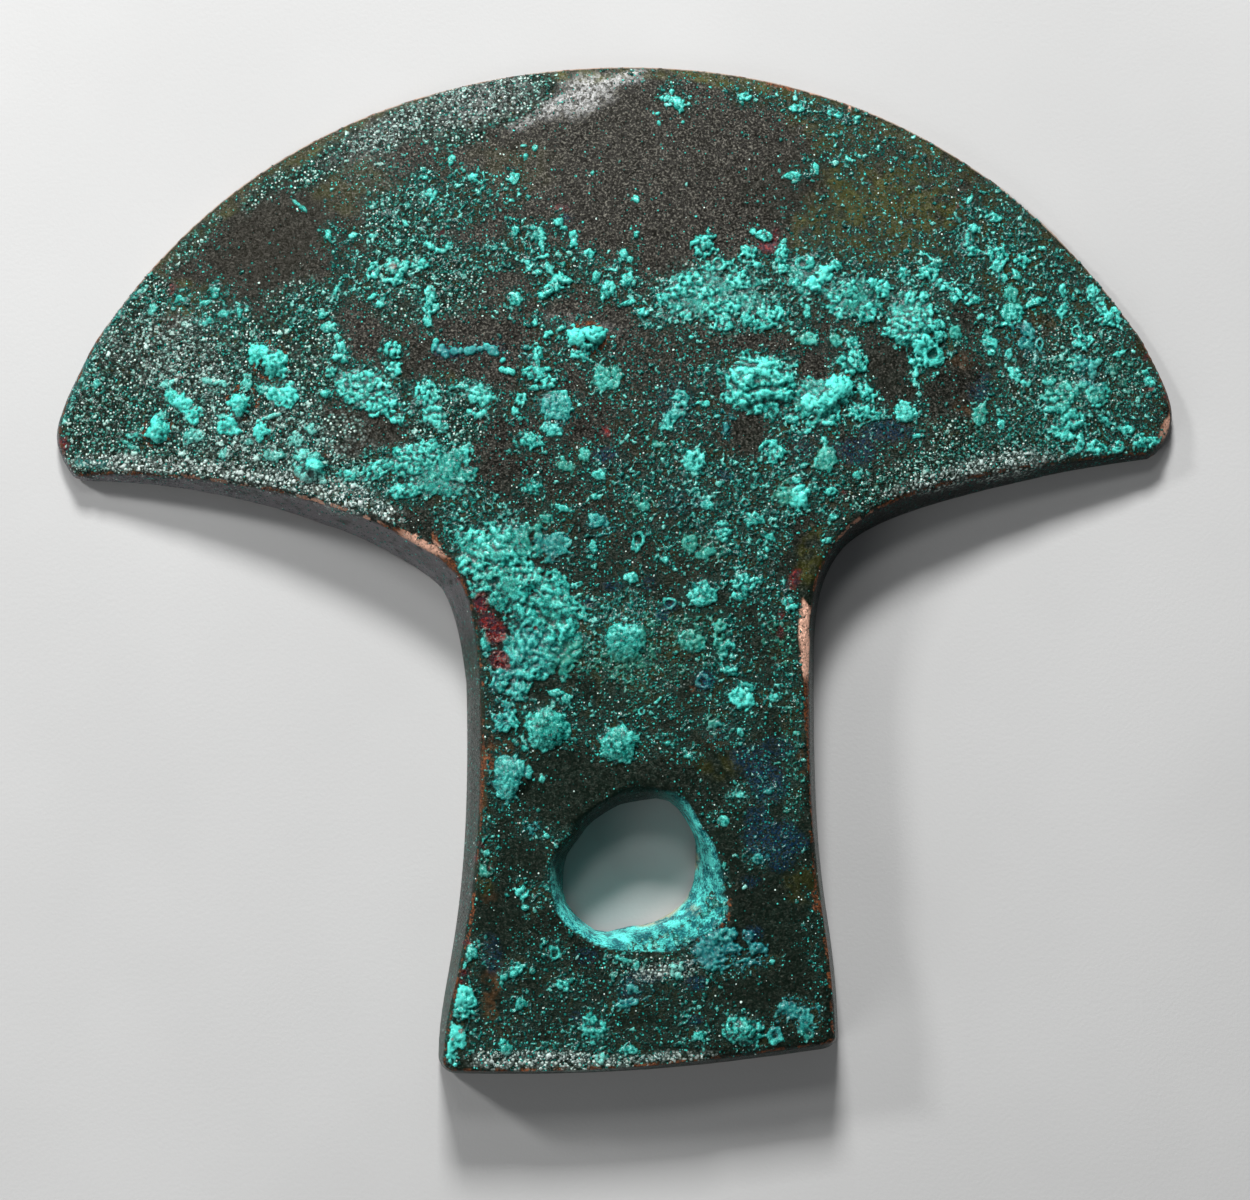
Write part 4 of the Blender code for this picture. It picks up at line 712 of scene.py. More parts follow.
class Maps:
    """Square grid over the head. A map on it has one row of numbers for each step in y."""

    def __init__(self, low, high):
        self.low = (low[0] - GRID_MARGIN, low[1] - GRID_MARGIN)
        self.columns = int((high[0] - low[0] + 2 * GRID_MARGIN) / GRID_STEP) + 1
        self.rows = int((high[1] - low[1] + 2 * GRID_MARGIN) / GRID_STEP) + 1
        xs = self.low[0] + GRID_STEP * np.arange(self.columns)
        ys = self.low[1] + GRID_STEP * np.arange(self.rows)
        self.x, self.y = np.meshgrid(xs, ys)

    def window(self, x, y, reach):
        """Slices of the grid that cover a square about a place."""
        column, row = (x - self.low[0]) / GRID_STEP, (y - self.low[1]) / GRID_STEP
        steps = reach / GRID_STEP + 1
        columns = slice(max(int(column - steps), 0), min(int(column + steps) + 2, self.columns))
        rows = slice(max(int(row - steps), 0), min(int(row + steps) + 2, self.rows))
        return rows, columns

    def sample(self, values, x, y):
        """Values of a map at scattered places, blended between grid points."""
        u = np.clip((x - self.low[0]) / GRID_STEP, 0, self.columns - 1.001)
        v = np.clip((y - self.low[1]) / GRID_STEP, 0, self.rows - 1.001)
        i, j = u.astype(int), v.astype(int)
        return blended(values, i, j, u - i, v - j)


def blended(values, i, j, p, q):
    """Values between the points of a lattice, at shares p and q of a step past columns i and rows j."""
    lower = values[j, i] * (1 - p) + values[j, i + 1] * p
    upper = values[j + 1, i] * (1 - p) + values[j + 1, i + 1] * p
    return lower * (1 - q) + upper * q


def soft_step(share):
    """Eases from 0 to 1 as the share does."""
    share = np.clip(share, 0, 1)
    return share * share * (3 - 2 * share)


def eased(values, span):
    """Eases from 0 where a value is at the start of the span to 1 where it is at the end."""
    return soft_step((values - span[0]) / (span[1] - span[0]))


def noise(maps, scale, rng):
    """Smooth noise from about -1 to 1, with bumps about one scale wide.

    Two lattices, one turned against the other, hide each other's lines.
    """
    total = 0
    for angle in rng.uniform(0, math.pi) + np.array([0, LATTICE_TURN]):
        u = (maps.x * math.cos(angle) + maps.y * math.sin(angle)) / scale
        v = (maps.y * math.cos(angle) - maps.x * math.sin(angle)) / scale
        u, v = u - u.min(), v - v.min()
        i, j = u.astype(int), v.astype(int)
        lattice = rng.uniform(-1, 1, (j.max() + 2, i.max() + 2))
        total = total + blended(lattice, i, j, soft_step(u - i), soft_step(v - j))
    return total * 0.75


def cloud(maps, scale, rng, octaves=3):
    """Noise of several scales, each half as wide and as strong as the one before."""
    total = sum(noise(maps, scale / 2 ** k, rng) / 2 ** k for k in range(octaves))
    return total / (2 - 0.5 ** (octaves - 1))


def grains(maps, grain, share, rng, warp):
    """Height and random value of round grains, at most one to a cell, where the share map says."""
    u = (maps.x + warp[0] - maps.low[0]) / grain.cell + 2
    v = (maps.y + warp[1] - maps.low[1]) / grain.cell + 2
    i, j = np.floor(u).astype(int), np.floor(v).astype(int)
    shape = (j.max() + 4, i.max() + 4)
    shift_x, shift_y = rng.uniform(0.1, 0.9, shape), rng.uniform(0.1, 0.9, shape)
    radius = rng.uniform(grain.least, grain.most, shape) / grain.cell
    own = rng.uniform(0, 1, shape)
    centre_x = (np.arange(shape[1])[None, :] + shift_x - 2) * grain.cell
    centre_y = (np.arange(shape[0])[:, None] + shift_y - 2) * grain.cell
    column = np.clip((centre_x / GRID_STEP).astype(int), 0, maps.columns - 1)
    row = np.clip((centre_y / GRID_STEP).astype(int), 0, maps.rows - 1)
    alive = rng.uniform(0, 1, shape) < share[row, column]
    height = np.zeros(maps.x.shape)
    value = np.zeros(maps.x.shape)
    for down in (-1, 0, 1):
        for over in (-1, 0, 1):
            a, b = i + over, j + down
            gap = (u - a - shift_x[b, a]) ** 2 + (v - b - shift_y[b, a]) ** 2
            size = radius[b, a]
            cap = np.sqrt(np.clip(1 - gap / size ** 2, 0, None)) * size * grain.cell * alive[b, a]
            higher = cap > height
            height[higher] = cap[higher]
            value[higher] = own[b, a][higher]
    return height, value


def oval(maps, patch, ragged, reach=1.0):
    """Window of a patch, and each point's distance from its middle as a share of the way to the outline."""
    rows, columns = maps.window(patch.x, patch.y, max(patch.width, patch.length) / 2 * reach * 1.3 + 0.3)
    dx, dy = maps.x[rows, columns] - patch.x, maps.y[rows, columns] - patch.y
    cosine, sine = math.cos(math.radians(patch.turn)), math.sin(math.radians(patch.turn))
    across = (dx * cosine + dy * sine) / (patch.width / 2)
    along = (dy * cosine - dx * sine) / (patch.length / 2)
    return (rows, columns), np.sqrt(across ** 2 + along ** 2) + ragged[rows, columns]


def zone(maps, group, ragged, softness):
    """Map from 0 to 1 of a group of patches with soft ragged outlines."""
    total = np.zeros(maps.x.shape)
    for patch in group:
        window, reach = oval(maps, patch, ragged, 1.3)
        share = patch.amount * soft_step((1 + softness / 2 - reach) / softness)
        total[window] = np.maximum(total[window], share)
    return total


def line_distance(maps, points, reach):
    """Window round a line of points, and each place's distance to the line."""
    points = np.array(points, float)
    middle = (points.min(axis=0) + points.max(axis=0)) / 2
    half = np.ptp(points, axis=0).max() / 2 + reach
    rows, columns = maps.window(middle[0], middle[1], half)
    x, y = maps.x[rows, columns], maps.y[rows, columns]
    nearest = np.full(x.shape, 1e9)
    for start, end in zip(points, points[1:]):
        side = end - start
        share = np.clip(((x - start[0]) * side[0] + (y - start[1]) * side[1]) / (side @ side), 0, 1)
        gap = np.hypot(x - start[0] - share * side[0], y - start[1] - share * side[1])
        nearest = np.minimum(nearest, gap)
    return (rows, columns), nearest


def blurred(values, steps):
    """Map with each value replaced by the mean of its square neighbourhood."""
    width = 2 * steps + 1
    for axis in (0, 1):
        padded = np.concatenate([np.repeat(np.take(values, [0], axis), steps + 1, axis), values,
                                 np.repeat(np.take(values, [-1], axis), steps, axis)], axis)
        sums = np.cumsum(padded, axis)
        count = values.shape[axis]
        ends, starts = np.take(sums, range(width, width + count), axis), np.take(sums, range(count), axis)
        values = (ends - starts) / width
    return values


def shrunk(mask):
    """Mask without the points that touch its outside."""
    inner = mask.copy()
    for here, there in NEIGHBOURS_IN_Y + NEIGHBOURS_IN_X:
        inner[here] &= mask[there]
    return inner


def grown(mask):
    """Mask with the cells that touch it."""
    wide = mask
    for neighbours in (NEIGHBOURS_IN_Y, NEIGHBOURS_IN_X):
        narrow, wide = wide, wide.copy()
        for here, there in neighbours:
            wide[here] |= narrow[there]
    return wide


def rim_share(covered, steps):
    """How far inside the covered ground each point lies, in grid steps up to a number, as a share of it."""
    share = np.zeros(covered.shape)
    mask = covered
    for _ in range(steps):
        mask = shrunk(mask)
        share += mask
    return share / steps


# Triangles of the head

def head_triangles(node):
    """The node's triangles in millimetres, as rows of three corners."""
    mesh = node.data
    mesh.calc_loop_triangles()
    places = np.zeros(len(mesh.vertices) * 3)
    mesh.vertices.foreach_get("co", places)
    corners = np.zeros(len(mesh.loop_triangles) * 3, int)
    mesh.loop_triangles.foreach_get("vertices", corners)
    return (places.reshape(-1, 3) / MILLIMETRE)[corners].reshape(-1, 3, 3)


def face_normals(triangles):
    """Normal of each row of three corners, as long as twice the triangle's area."""
    return np.cross(triangles[:, 1] - triangles[:, 0], triangles[:, 2] - triangles[:, 0])


def unit(vectors):
    """Each vector at a length of one."""
    return vectors / np.maximum(np.linalg.norm(vectors, axis=1), 1e-12)[:, None]


def facing_up(triangles, least):
    """The triangles whose normal rises at least so steeply."""
    return triangles[unit(face_normals(triangles))[:, 2] > least]


def triangle_sides(triangles):
    """The three sides of each triangle in turn, as rows of two points."""
    return np.stack([triangles, np.roll(triangles, -1, axis=1)], axis=2).reshape(-1, 2)


def side_keys(sides, count):
    """One whole number for each side, the same whichever way round it runs."""
    return sides.min(axis=1) * count + sides.max(axis=1)


def front_surface(maps, triangles):
    """Height of the surface that faces up at each grid point, and which points it covers."""
    height = np.zeros(maps.x.shape)
    covered = np.zeros(maps.x.shape, bool)
    for a, b, c in triangles:
        cross = (b[0] - a[0]) * (c[1] - a[1]) - (b[1] - a[1]) * (c[0] - a[0])
        low, high = np.minimum(np.minimum(a, b), c), np.maximum(np.maximum(a, b), c)
        middle, reach = (low + high) / 2, max(high[0] - low[0], high[1] - low[1]) / 2
        rows, columns = maps.window(middle[0], middle[1], reach)
        x, y = maps.x[rows, columns], maps.y[rows, columns]
        p = ((x - a[0]) * (c[1] - a[1]) - (y - a[1]) * (c[0] - a[0])) / cross
        q = ((b[0] - a[0]) * (y - a[1]) - (b[1] - a[1]) * (x - a[0])) / cross
        hit = (p >= -1e-6) & (q >= -1e-6) & (p + q <= 1 + 1e-6)
        height[rows, columns][hit] = (a[2] + p * (b[2] - a[2]) + q * (c[2] - a[2]))[hit]
        covered[rows, columns] |= hit
    return height, covered


# Ground that the crust grows on

def ground_maps(maps, wide_ragged, hole_wall):
    """Where the front has fresh grains, dull grains and bare metal, and how dense and dull its grains are."""
    halos = [patch._replace(width=patch.width + HALO_WIDTH, length=patch.length + HALO_WIDTH, amount=0.45)
             for patch in FLAT_DISCS + NODULAR_LUMPS + SMOOTH_LUMPS]
    fresh = np.maximum(zone(maps, GRAIN_FIELDS, wide_ragged, 0.5), zone(maps, halos, wide_ragged, 0.9))
    dull = zone(maps, DULL_FIELDS, wide_ragged, 0.5)
    bare = zone(maps, BARE_PATCHES, wide_ragged, 0.4)
    density = np.maximum(np.maximum(fresh, dull), 0.04) * (1 - bare)
    density = np.where(hole_wall, HOLE_WALL_DENSITY, density)
    dullness = soft_step((dull + 0.02) / (dull + fresh + 0.05) * 1.6 - 0.3)
    return Ground(fresh, dull, bare, density, dullness)


def dome(reach, fullness, steepness):
    """Round top of a lump: a large fullness makes it flat, and a small steepness makes its edge sheer."""
    return np.clip(1 - np.maximum(reach, 0) ** fullness, 0, None) ** steepness


class Crust:
    """The malachite above the metal: its height, the random value of its grains, and how solid it is."""

    def __init__(self, maps, rng, ragged, ground):
        self.maps, self.rng, self.ragged = maps, rng, ragged
        warp = (0.2 * noise(maps, 0.5, rng), 0.2 * noise(maps, 0.5, rng))
        everywhere = np.ones(maps.x.shape)
        self.nodules, self.nodule_value = grains(maps, NODULES, everywhere, rng, warp)
        self.pebbles, self.pebble_value = grains(maps, PEBBLES, everywhere, rng, warp)
        self.wrinkles = cloud(maps, 1.6, rng)
        crumbs = noise(maps, 0.42, rng)
        self.billows = np.abs(noise(maps, 1.3, rng)) + 0.6 * np.abs(noise(maps, 0.7, rng))
        patchy = cloud(maps, 2.6, rng)
        self.knobs = (ragged * 0.7 + 0.22 * (0.25 - self.nodules) + 0.22 * (0.15 - self.pebbles)
                      + 0.08 * crumbs)

        share = np.clip(ground.density + patchy * 0.5 * np.minimum(ground.density, 0.5), 0, 1)
        coarse, coarse_value = grains(maps, COARSE_GRAINS, share ** 2 * 0.5, rng, warp)
        middle, middle_value = grains(maps, MIDDLE_GRAINS, share * 0.75, rng, warp)
        fine, fine_value = grains(maps, FINE_GRAINS, share * 0.95, rng, warp)
        height = np.maximum(np.maximum(coarse * 0.75, middle * 0.8), fine * 0.9)
        self.height = height * (1 - 0.4 * ground.dullness) * np.clip(0.85 + 0.4 * crumbs, 0.3, 1.3)
        value = np.where(middle > fine, middle_value, fine_value)
        self.value = np.where(coarse * 0.75 > np.maximum(middle, fine) * 0.8, coarse_value, value)
        self.solid = np.zeros(maps.x.shape)

        self.add_sheets()
        self.add_lobes()
        self.add_discs()
        self.add_nodular_lumps()
        self.add_smooth_lumps()
        self.add_rings()
        self.add_chains()
        self.cut_creases()
        smoother = 0.55 * self.height + 0.45 * blurred(self.height, 1)
        self.height = np.where(self.solid > 0.5, smoother, self.height)

    def outline(self, patch, amount, roundness):
        """How ragged a patch's outline is: as many millimetres for a large one as for a small one."""
        return self.knobs * amount * min(1.0, 4 * roundness / (patch.width + patch.length))

    def raise_to(self, window, wanted, values, firmness):
        """Raises a window to the wanted height where that is higher, with the form's values and firmness."""
        higher = wanted > self.height[window]
        firmer = np.maximum(self.solid[window], firmness)
        self.height[window] = np.where(higher, wanted, self.height[window])
        self.value[window] = np.where(higher, values, self.value[window])
        self.solid[window] = np.where(higher, firmer, self.solid[window])

    def add_sheets(self):
        for patch in CRUST_SHEETS:
            window, reach = oval(self.maps, patch, self.knobs * 1.5)
            rough = 0.6 + 0.55 * self.billows[window] + 0.45 * self.pebbles[window]
            self.raise_to(window, patch.amount * dome(reach, *FLAT_TOP) * rough,
                          0.45 + 0.35 * self.wrinkles[window], 0.8)

    def add_lobes(self):
        for patch in CRUST_LOBES:
            window, reach = oval(self.maps, patch, self.knobs)
            top = soft_step(1.2 - reach)
            self.height[window] += patch.amount * top * (0.3 + 0.5 * self.billows[window])
            folds = 0.64 + 0.35 * self.wrinkles[window]
            self.value[window] = self.value[window] * (1 - top) + top * folds
            self.solid[window] = np.maximum(self.solid[window], 0.9 * (top > 0.3))

    def add_discs(self):
        for patch in FLAT_DISCS:
            window, reach = oval(self.maps, patch, self.outline(patch, 1.6, 1.2))
            rough = (patch.amount * (0.5 + 0.3 * self.billows[window]) + 0.35 * self.pebbles[window]
                     + 0.2 * self.nodules[window])
            self.raise_to(window, dome(reach, *FLAT_TOP) * rough, 0.65 + 0.45 * self.wrinkles[window], 0.7)

    def add_nodular_lumps(self):
        for patch in NODULAR_LUMPS:
            window, reach = oval(self.maps, patch, self.outline(patch, 2.0, 1.5))
            beads = (0.5 + patch.amount) * (0.55 * self.nodules[window] + 0.5 * self.pebbles[window])
            rough = patch.amount * (0.3 + 0.2 * self.billows[window]) + beads
            self.raise_to(window, dome(reach, *NODULAR_TOP) * rough,
                          self.nodule_value[window] * 0.6 + 0.24, 0.8)

    def add_smooth_lumps(self):
        for patch in SMOOTH_LUMPS:
            small = min(patch.width, patch.length) < SMALL_LUMP
            edge = self.outline(patch, 2.0, 0.8) if small else self.outline(patch, 2.2, 1.2)
            window, reach = oval(self.maps, patch, edge)
            pebbles, wrinkles = self.pebbles[window], self.wrinkles[window]
            if small:
                rough = 0.45 + 1.1 * pebbles + 0.6 * self.nodules[window]
                value, firmness = 0.35 + 0.5 * self.pebble_value[window], 0.7
            else:
                rough = 0.55 + 0.25 * wrinkles + 0.5 * self.billows[window] + 0.5 * pebbles
                value, firmness = 1.15 + 0.35 * wrinkles, 1.0
            self.raise_to(window, patch.amount * dome(reach, *ROUND_TOP) * rough, value, firmness)

    def add_rings(self):
        for patch in RINGS:
            window, reach = oval(self.maps, patch, self.ragged * 1.2)
            band = np.clip(1 - ((reach - RING_CREST) / RING_HALF_BREADTH) ** 2, 0, None)
            if max(patch.width, patch.length) < WIDE_RING:
                floor = np.minimum(self.height[window], HOLLOW_HEIGHT)
                self.height[window] = np.where(reach < RING_HOLLOW, floor, self.height[window])
            self.raise_to(window, patch.amount * np.sqrt(band) * (0.7 + 0.6 * self.pebbles[window]),
                          self.nodule_value[window], 0.8)

    def add_chains(self):
        for chain in NODULE_CHAINS:
            points = np.array(chain.points, float)
            for start, end in zip(points, np.vstack([points[1:], points[-1:]])):
                count = max(int(round(np.linalg.norm(end - start) / (chain.width * CHAIN_STEP))), 1)
                for step in range(count):
                    self.add_bead(chain, start + (end - start) * step / count)

    def add_bead(self, chain, place):
        place = place + self.rng.uniform(-CHAIN_STRAY, CHAIN_STRAY, 2)
        width = chain.width * self.rng.uniform(0.7, 1.15)
        length = width * self.rng.uniform(0.8, 1.2)
        bead = Patch(place[0], place[1], width, length, chain.height, self.rng.uniform(0, 90))
        window, reach = oval(self.maps, bead, self.ragged * 0.5)
        top = np.sqrt(np.clip(1 - reach ** 2, 0, None))
        wrinkles = self.wrinkles[window]
        self.raise_to(window, chain.height * top * (0.9 + 0.2 * wrinkles), 0.5 + 0.3 * wrinkles, 1.0)

    def cut_creases(self):
        for crease in CREASES:
            window, gap = line_distance(self.maps, crease.points, crease.width * 3)
            gap = gap + 0.25 * self.wrinkles[window]
            cut = crease.depth * np.exp(-(gap / crease.width) ** 2)
            height = self.height[window]
            self.height[window] = np.maximum(height - cut, np.minimum(height, CREASED_HEIGHT))


# Pieces

def mesh_piece(name, places, loops, sizes, layers):
    """Smooth-shaded object from points in millimetres, the corners and sizes of faces, and value layers."""
    data = bpy.data.meshes.new(name)
    data.vertices.add(len(places))
    data.vertices.foreach_set("co", (places * MILLIMETRE).ravel())
    data.loops.add(len(loops))
    data.loops.foreach_set("vertex_index", loops)
    data.polygons.add(len(sizes))
    data.polygons.foreach_set("loop_start", np.concatenate([[0], np.cumsum(sizes)[:-1]]))
    data.polygons.foreach_set("use_smooth", np.ones(len(sizes), bool))
    data.update(calc_edges=True)
    data.validate()
    for key, values in layers.items():
        layer = data.attributes.new(key, "FLOAT", "POINT")
        layer.data.foreach_set("value", values.astype(np.float32))
    piece = bpy.data.objects.new(name, data)
    bpy.context.scene.collection.objects.link(piece)
    return piece


def crust_piece(name, maps, base, height, cells, layers):
    """Closed mesh of the crust over the chosen cells of the grid. Its outline dips under the metal."""
    used = np.zeros(height.shape, bool)
    whole = np.ones(height.shape, bool)
    for corner in CELL_CORNERS:
        used[corner] |= cells
        whole[corner] &= cells
    z = np.where(used & ~whole, base - SKIRT_DEPTH, base + np.maximum(height, -0.1))
    index = np.full(height.shape, -1)
    index[used] = np.arange(used.sum())
    places = np.stack([maps.x[used], maps.y[used], z[used]], axis=1)
    row, column = np.nonzero(cells)
    quads = np.stack([index[row, column], index[row, column + 1], index[row + 1, column + 1],
                      index[row + 1, column]], axis=1)
    sides = np.concatenate([quads[:, [0, 1]], quads[:, [1, 2]], quads[:, [2, 3]], quads[:, [3, 0]]])
    _, first, counts = np.unique(side_keys(sides, len(places)), return_index=True, return_counts=True)
    bottom = bottom_faces(maps, places, sides[first[counts == 1]], cells)

    loops = np.concatenate([quads.ravel(), bottom.ravel()])
    sizes = np.concatenate([np.full(len(quads), 4), np.full(len(bottom), 3)])
    return mesh_piece(name, places, loops, sizes, {key: values[used] for key, values in layers.items()})


def bottom_faces(maps, places, open_sides, cells):
    """Triangles that close a sheet of cells from below, between the points of its open sides alone."""
    rim = np.unique(open_sides)
    order = np.full(len(places), -1)
    order[rim] = np.arange(len(rim))
    flat = [Vector(place) for place in places[rim][:, :2].tolist()]
    found = delaunay_2d_cdt(flat, order[open_sides].tolist(), [], 1, 1e-5)
    corners = np.array(found[2]).reshape(-1, 3)
    source = np.array([origin[0] for origin in found[3]])
    middles = np.array([place[:] for place in found[0]])[corners].mean(axis=1)
    column, row = ((middles - maps.low) / GRID_STEP).astype(int).T
    return rim[source[corners[cells[row, column]]]][:, ::-1]


def add_crust(maps, rng, base, covered, height, layers):
    """The crust in four pieces, parted along wandering borders."""
    cells = np.max([height[corner] for corner in CELL_CORNERS], axis=0) > LEAST_HEIGHT
    cells &= np.all([covered[corner] for corner in CELL_CORNERS], axis=0)
    wander = (1.2 * noise(maps, 3.0, rng) + 0.5 * noise(maps, 0.9, rng))[:-1, :-1]
    x, y = maps.x[:-1, :-1] + wander, maps.y[:-1, :-1] + wander
    blade = y - NECK_BORDER > 0
    left, right = x - LEFT_BORDER < 0, x - RIGHT_BORDER > 0
    regions = {
        "malachite_crust_left_wing": left & blade,
        "malachite_crust_mid_blade": ~left & ~right & blade,
        "malachite_crust_right_wing": right & blade,
        "malachite_crust_tang": ~blade,
    }
    crust = crust_material()
    for name, region in regions.items():
        piece = crust_piece(name, maps, base, height, cells & grown(region), layers)
        piece.data.materials.append(crust)
        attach(piece, "root")


def merged(node):
    """The head's points in millimetres, each only once, and its triangles as rows of three points."""
    corners = head_triangles(node).reshape(-1, 3)
    _, first, index = np.unique(np.round(corners, 3), axis=0, return_index=True, return_inverse=True)
    return corners[first], index.reshape(-1, 3)


def refined(points, triangles):
    """Splits long edges in half until none is too long for the face that it is on."""
    while True:
        steep = unit(face_normals(points[triangles]))[:, 2]
        most = np.where(steep > 0.7, FRONT_EDGE, np.where(steep > -0.9, SIDE_EDGE, BACK_EDGE))
        sides = triangle_sides(triangles)
        keys = side_keys(sides, len(points))
        unique, first, index = np.unique(keys, return_index=True, return_inverse=True)
        limit = np.full(len(unique), 1e9)
        np.minimum.at(limit, index, np.repeat(most, 3))
        ends = points[sides[first]]
        split = np.linalg.norm(ends[:, 0] - ends[:, 1], axis=1) > limit
        if not split.any():
            return points, triangles
        middle = np.full(len(unique), -1)
        middle[split] = len(points) + np.arange(split.sum())
        points = np.concatenate([points, (ends[split, 0] + ends[split, 1]) / 2])
        triangles = divided(points, triangles, middle[index].reshape(-1, 3))


def divided(points, triangles, middles):
    """Triangles cut at the middles of their sides, where a middle of -1 is a side that stays whole."""
    count = (middles >= 0).sum(axis=1)
    parts = [triangles[count == 0]]
    for number in (1, 2, 3):
        chosen, mids = triangles[count == number], middles[count == number]
        turn = np.argmax(mids >= 0, axis=1) if number == 1 else np.argmax(mids < 0, axis=1)
        order = (turn[:, None] + np.arange(3)) % 3
        a, b, c = np.take_along_axis(chosen, order, axis=1).T
        d, e, f = np.take_along_axis(mids, order, axis=1).T
        if number == 1:
            parts += [np.stack(row, axis=1) for row in ((a, d, c), (d, b, c))]
        elif number == 2:
            across_a = np.linalg.norm(points[a] - points[e], axis=1)
            across_b = np.linalg.norm(points[b] - points[f], axis=1)
            near = across_a < across_b
            parts += [np.stack([f, e, c], axis=1)]
            parts += [np.stack(row, axis=1)[near] for row in ((a, b, e), (a, e, f))]
            parts += [np.stack(row, axis=1)[~near] for row in ((a, b, f), (b, e, f))]
        else:
            parts += [np.stack(row, axis=1) for row in ((a, d, f), (d, b, e), (f, e, c), (d, e, f))]
    return np.concatenate(parts)


def sharp_points(points, triangles):
    """Places along the rims where the front and back meet the sides."""
    normals = unit(face_normals(points[triangles]))
    sides = triangle_sides(triangles)
    pairs = np.argsort(side_keys(sides, len(points)), kind="stable").reshape(-1, 2)
    bend = np.einsum("ij,ij->i", normals[pairs[:, 0] // 3], normals[pairs[:, 1] // 3])
    sharp = sides[pairs[bend < math.cos(math.radians(SHARP_ANGLE)), 0]]
    found = []
    for start, end in points[sharp]:
        count = max(int(np.linalg.norm(end - start) / RIM_STEP), 1)
        found.append(start + (end - start) * np.arange(count)[:, None] / count)
    return np.concatenate(found)


def distances(places, others):
    """Distance of each place to the nearest of the others."""
    tree = KDTree(len(others))
    for i, other in enumerate(others.tolist()):
        tree.insert(other, i)
    tree.balance()
    return np.array([tree.find(place)[2] for place in places.tolist()])


def worn_round(places, triangles, rim):
    """The points near a rim moved towards their neighbours, as wear rounds it."""
    sides = triangle_sides(triangles)
    near = np.clip(1.3 - rim / 0.6, 0, 1)[:, None] * 0.5
    degree = np.bincount(sides[:, 0], minlength=len(places))[:, None]
    for _ in range(WEAR_ROUNDS):
        total = np.zeros_like(places)
        np.add.at(total, sides[:, 0], places[sides[:, 1]])
        places = places + near * (total / degree - places)
    return places


def coat_layer(places, normals, gap):
    """Share of the malachite coat on the hole's wall, which is thickest at its lower right."""
    from_hole = places[:, :2] - HOLE_CENTRE
    slope = np.clip((0.9 - normals[:, 2]) * 6, 0, 1) * np.clip(normals[:, 2] * 5 + 4, 0, 1)
    side = from_hole @ COAT_SIDE / np.maximum(gap, 1e-6)
    return (gap < HOLE_REACH) * slope * soft_step(1.4 * (side + 0.75))


def add_metal(node, maps, relief, zones):
    """The casting: a fine copy of the solid with worn rims, low relief and its patina's zones."""
    points, triangles = merged(node)
    rims = sharp_points(points, triangles)
    places, triangles = refined(points, triangles)
    rim = distances(places, rims)
    normals = np.zeros((len(places), 3))
    flat = face_normals(places[triangles])
    for k in range(3):
        np.add.at(normals, triangles[:, k], flat)
    normals = unit(normals)
    places = worn_round(places, triangles, rim)
    up = np.clip(normals[:, 2] * 2 - 0.6, 0, 1)
    places[:, 2] += maps.sample(relief, places[:, 0], places[:, 1]) * up

    layers = {key: maps.sample(values, places[:, 0], places[:, 1]) for key, values in zones.items()}
    for key, reach in RIM_REACH.items():
        layers[key] *= up + (1 - up) * np.exp(-(rim / reach) ** 2)
    gap = np.linalg.norm(places[:, :2] - HOLE_CENTRE, axis=1)
    layers["coat"] = np.maximum(layers["coat"], coat_layer(places, normals, gap))
    layers["rim"] = np.exp(-(rim / RIM_WIDTH) ** 2) * np.where(gap < HOLE_REACH, 0.15, 1.0)
    # Side faces: the wall layer is painted light on the left ones, and painted shade on the right ones
    wall = np.clip(1.2 - np.abs(normals[:, 2]) * 2.2, 0, 1) * eased(places[:, 1], WALL_SPAN)
    layers["wall"] = wall * eased(places[:, 0], PAINTED_LIT_WALL_SPAN)
    layers["dim"] = wall * eased(places[:, 0], PAINTED_SHADED_WALL_SPAN)
    metal = mesh_piece("patinated_casting", places, triangles.ravel(), np.full(len(triangles), 3), layers)
    metal.data.materials.append(metal_material())
    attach(metal, "root")
    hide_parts("axe_head")


# Materials

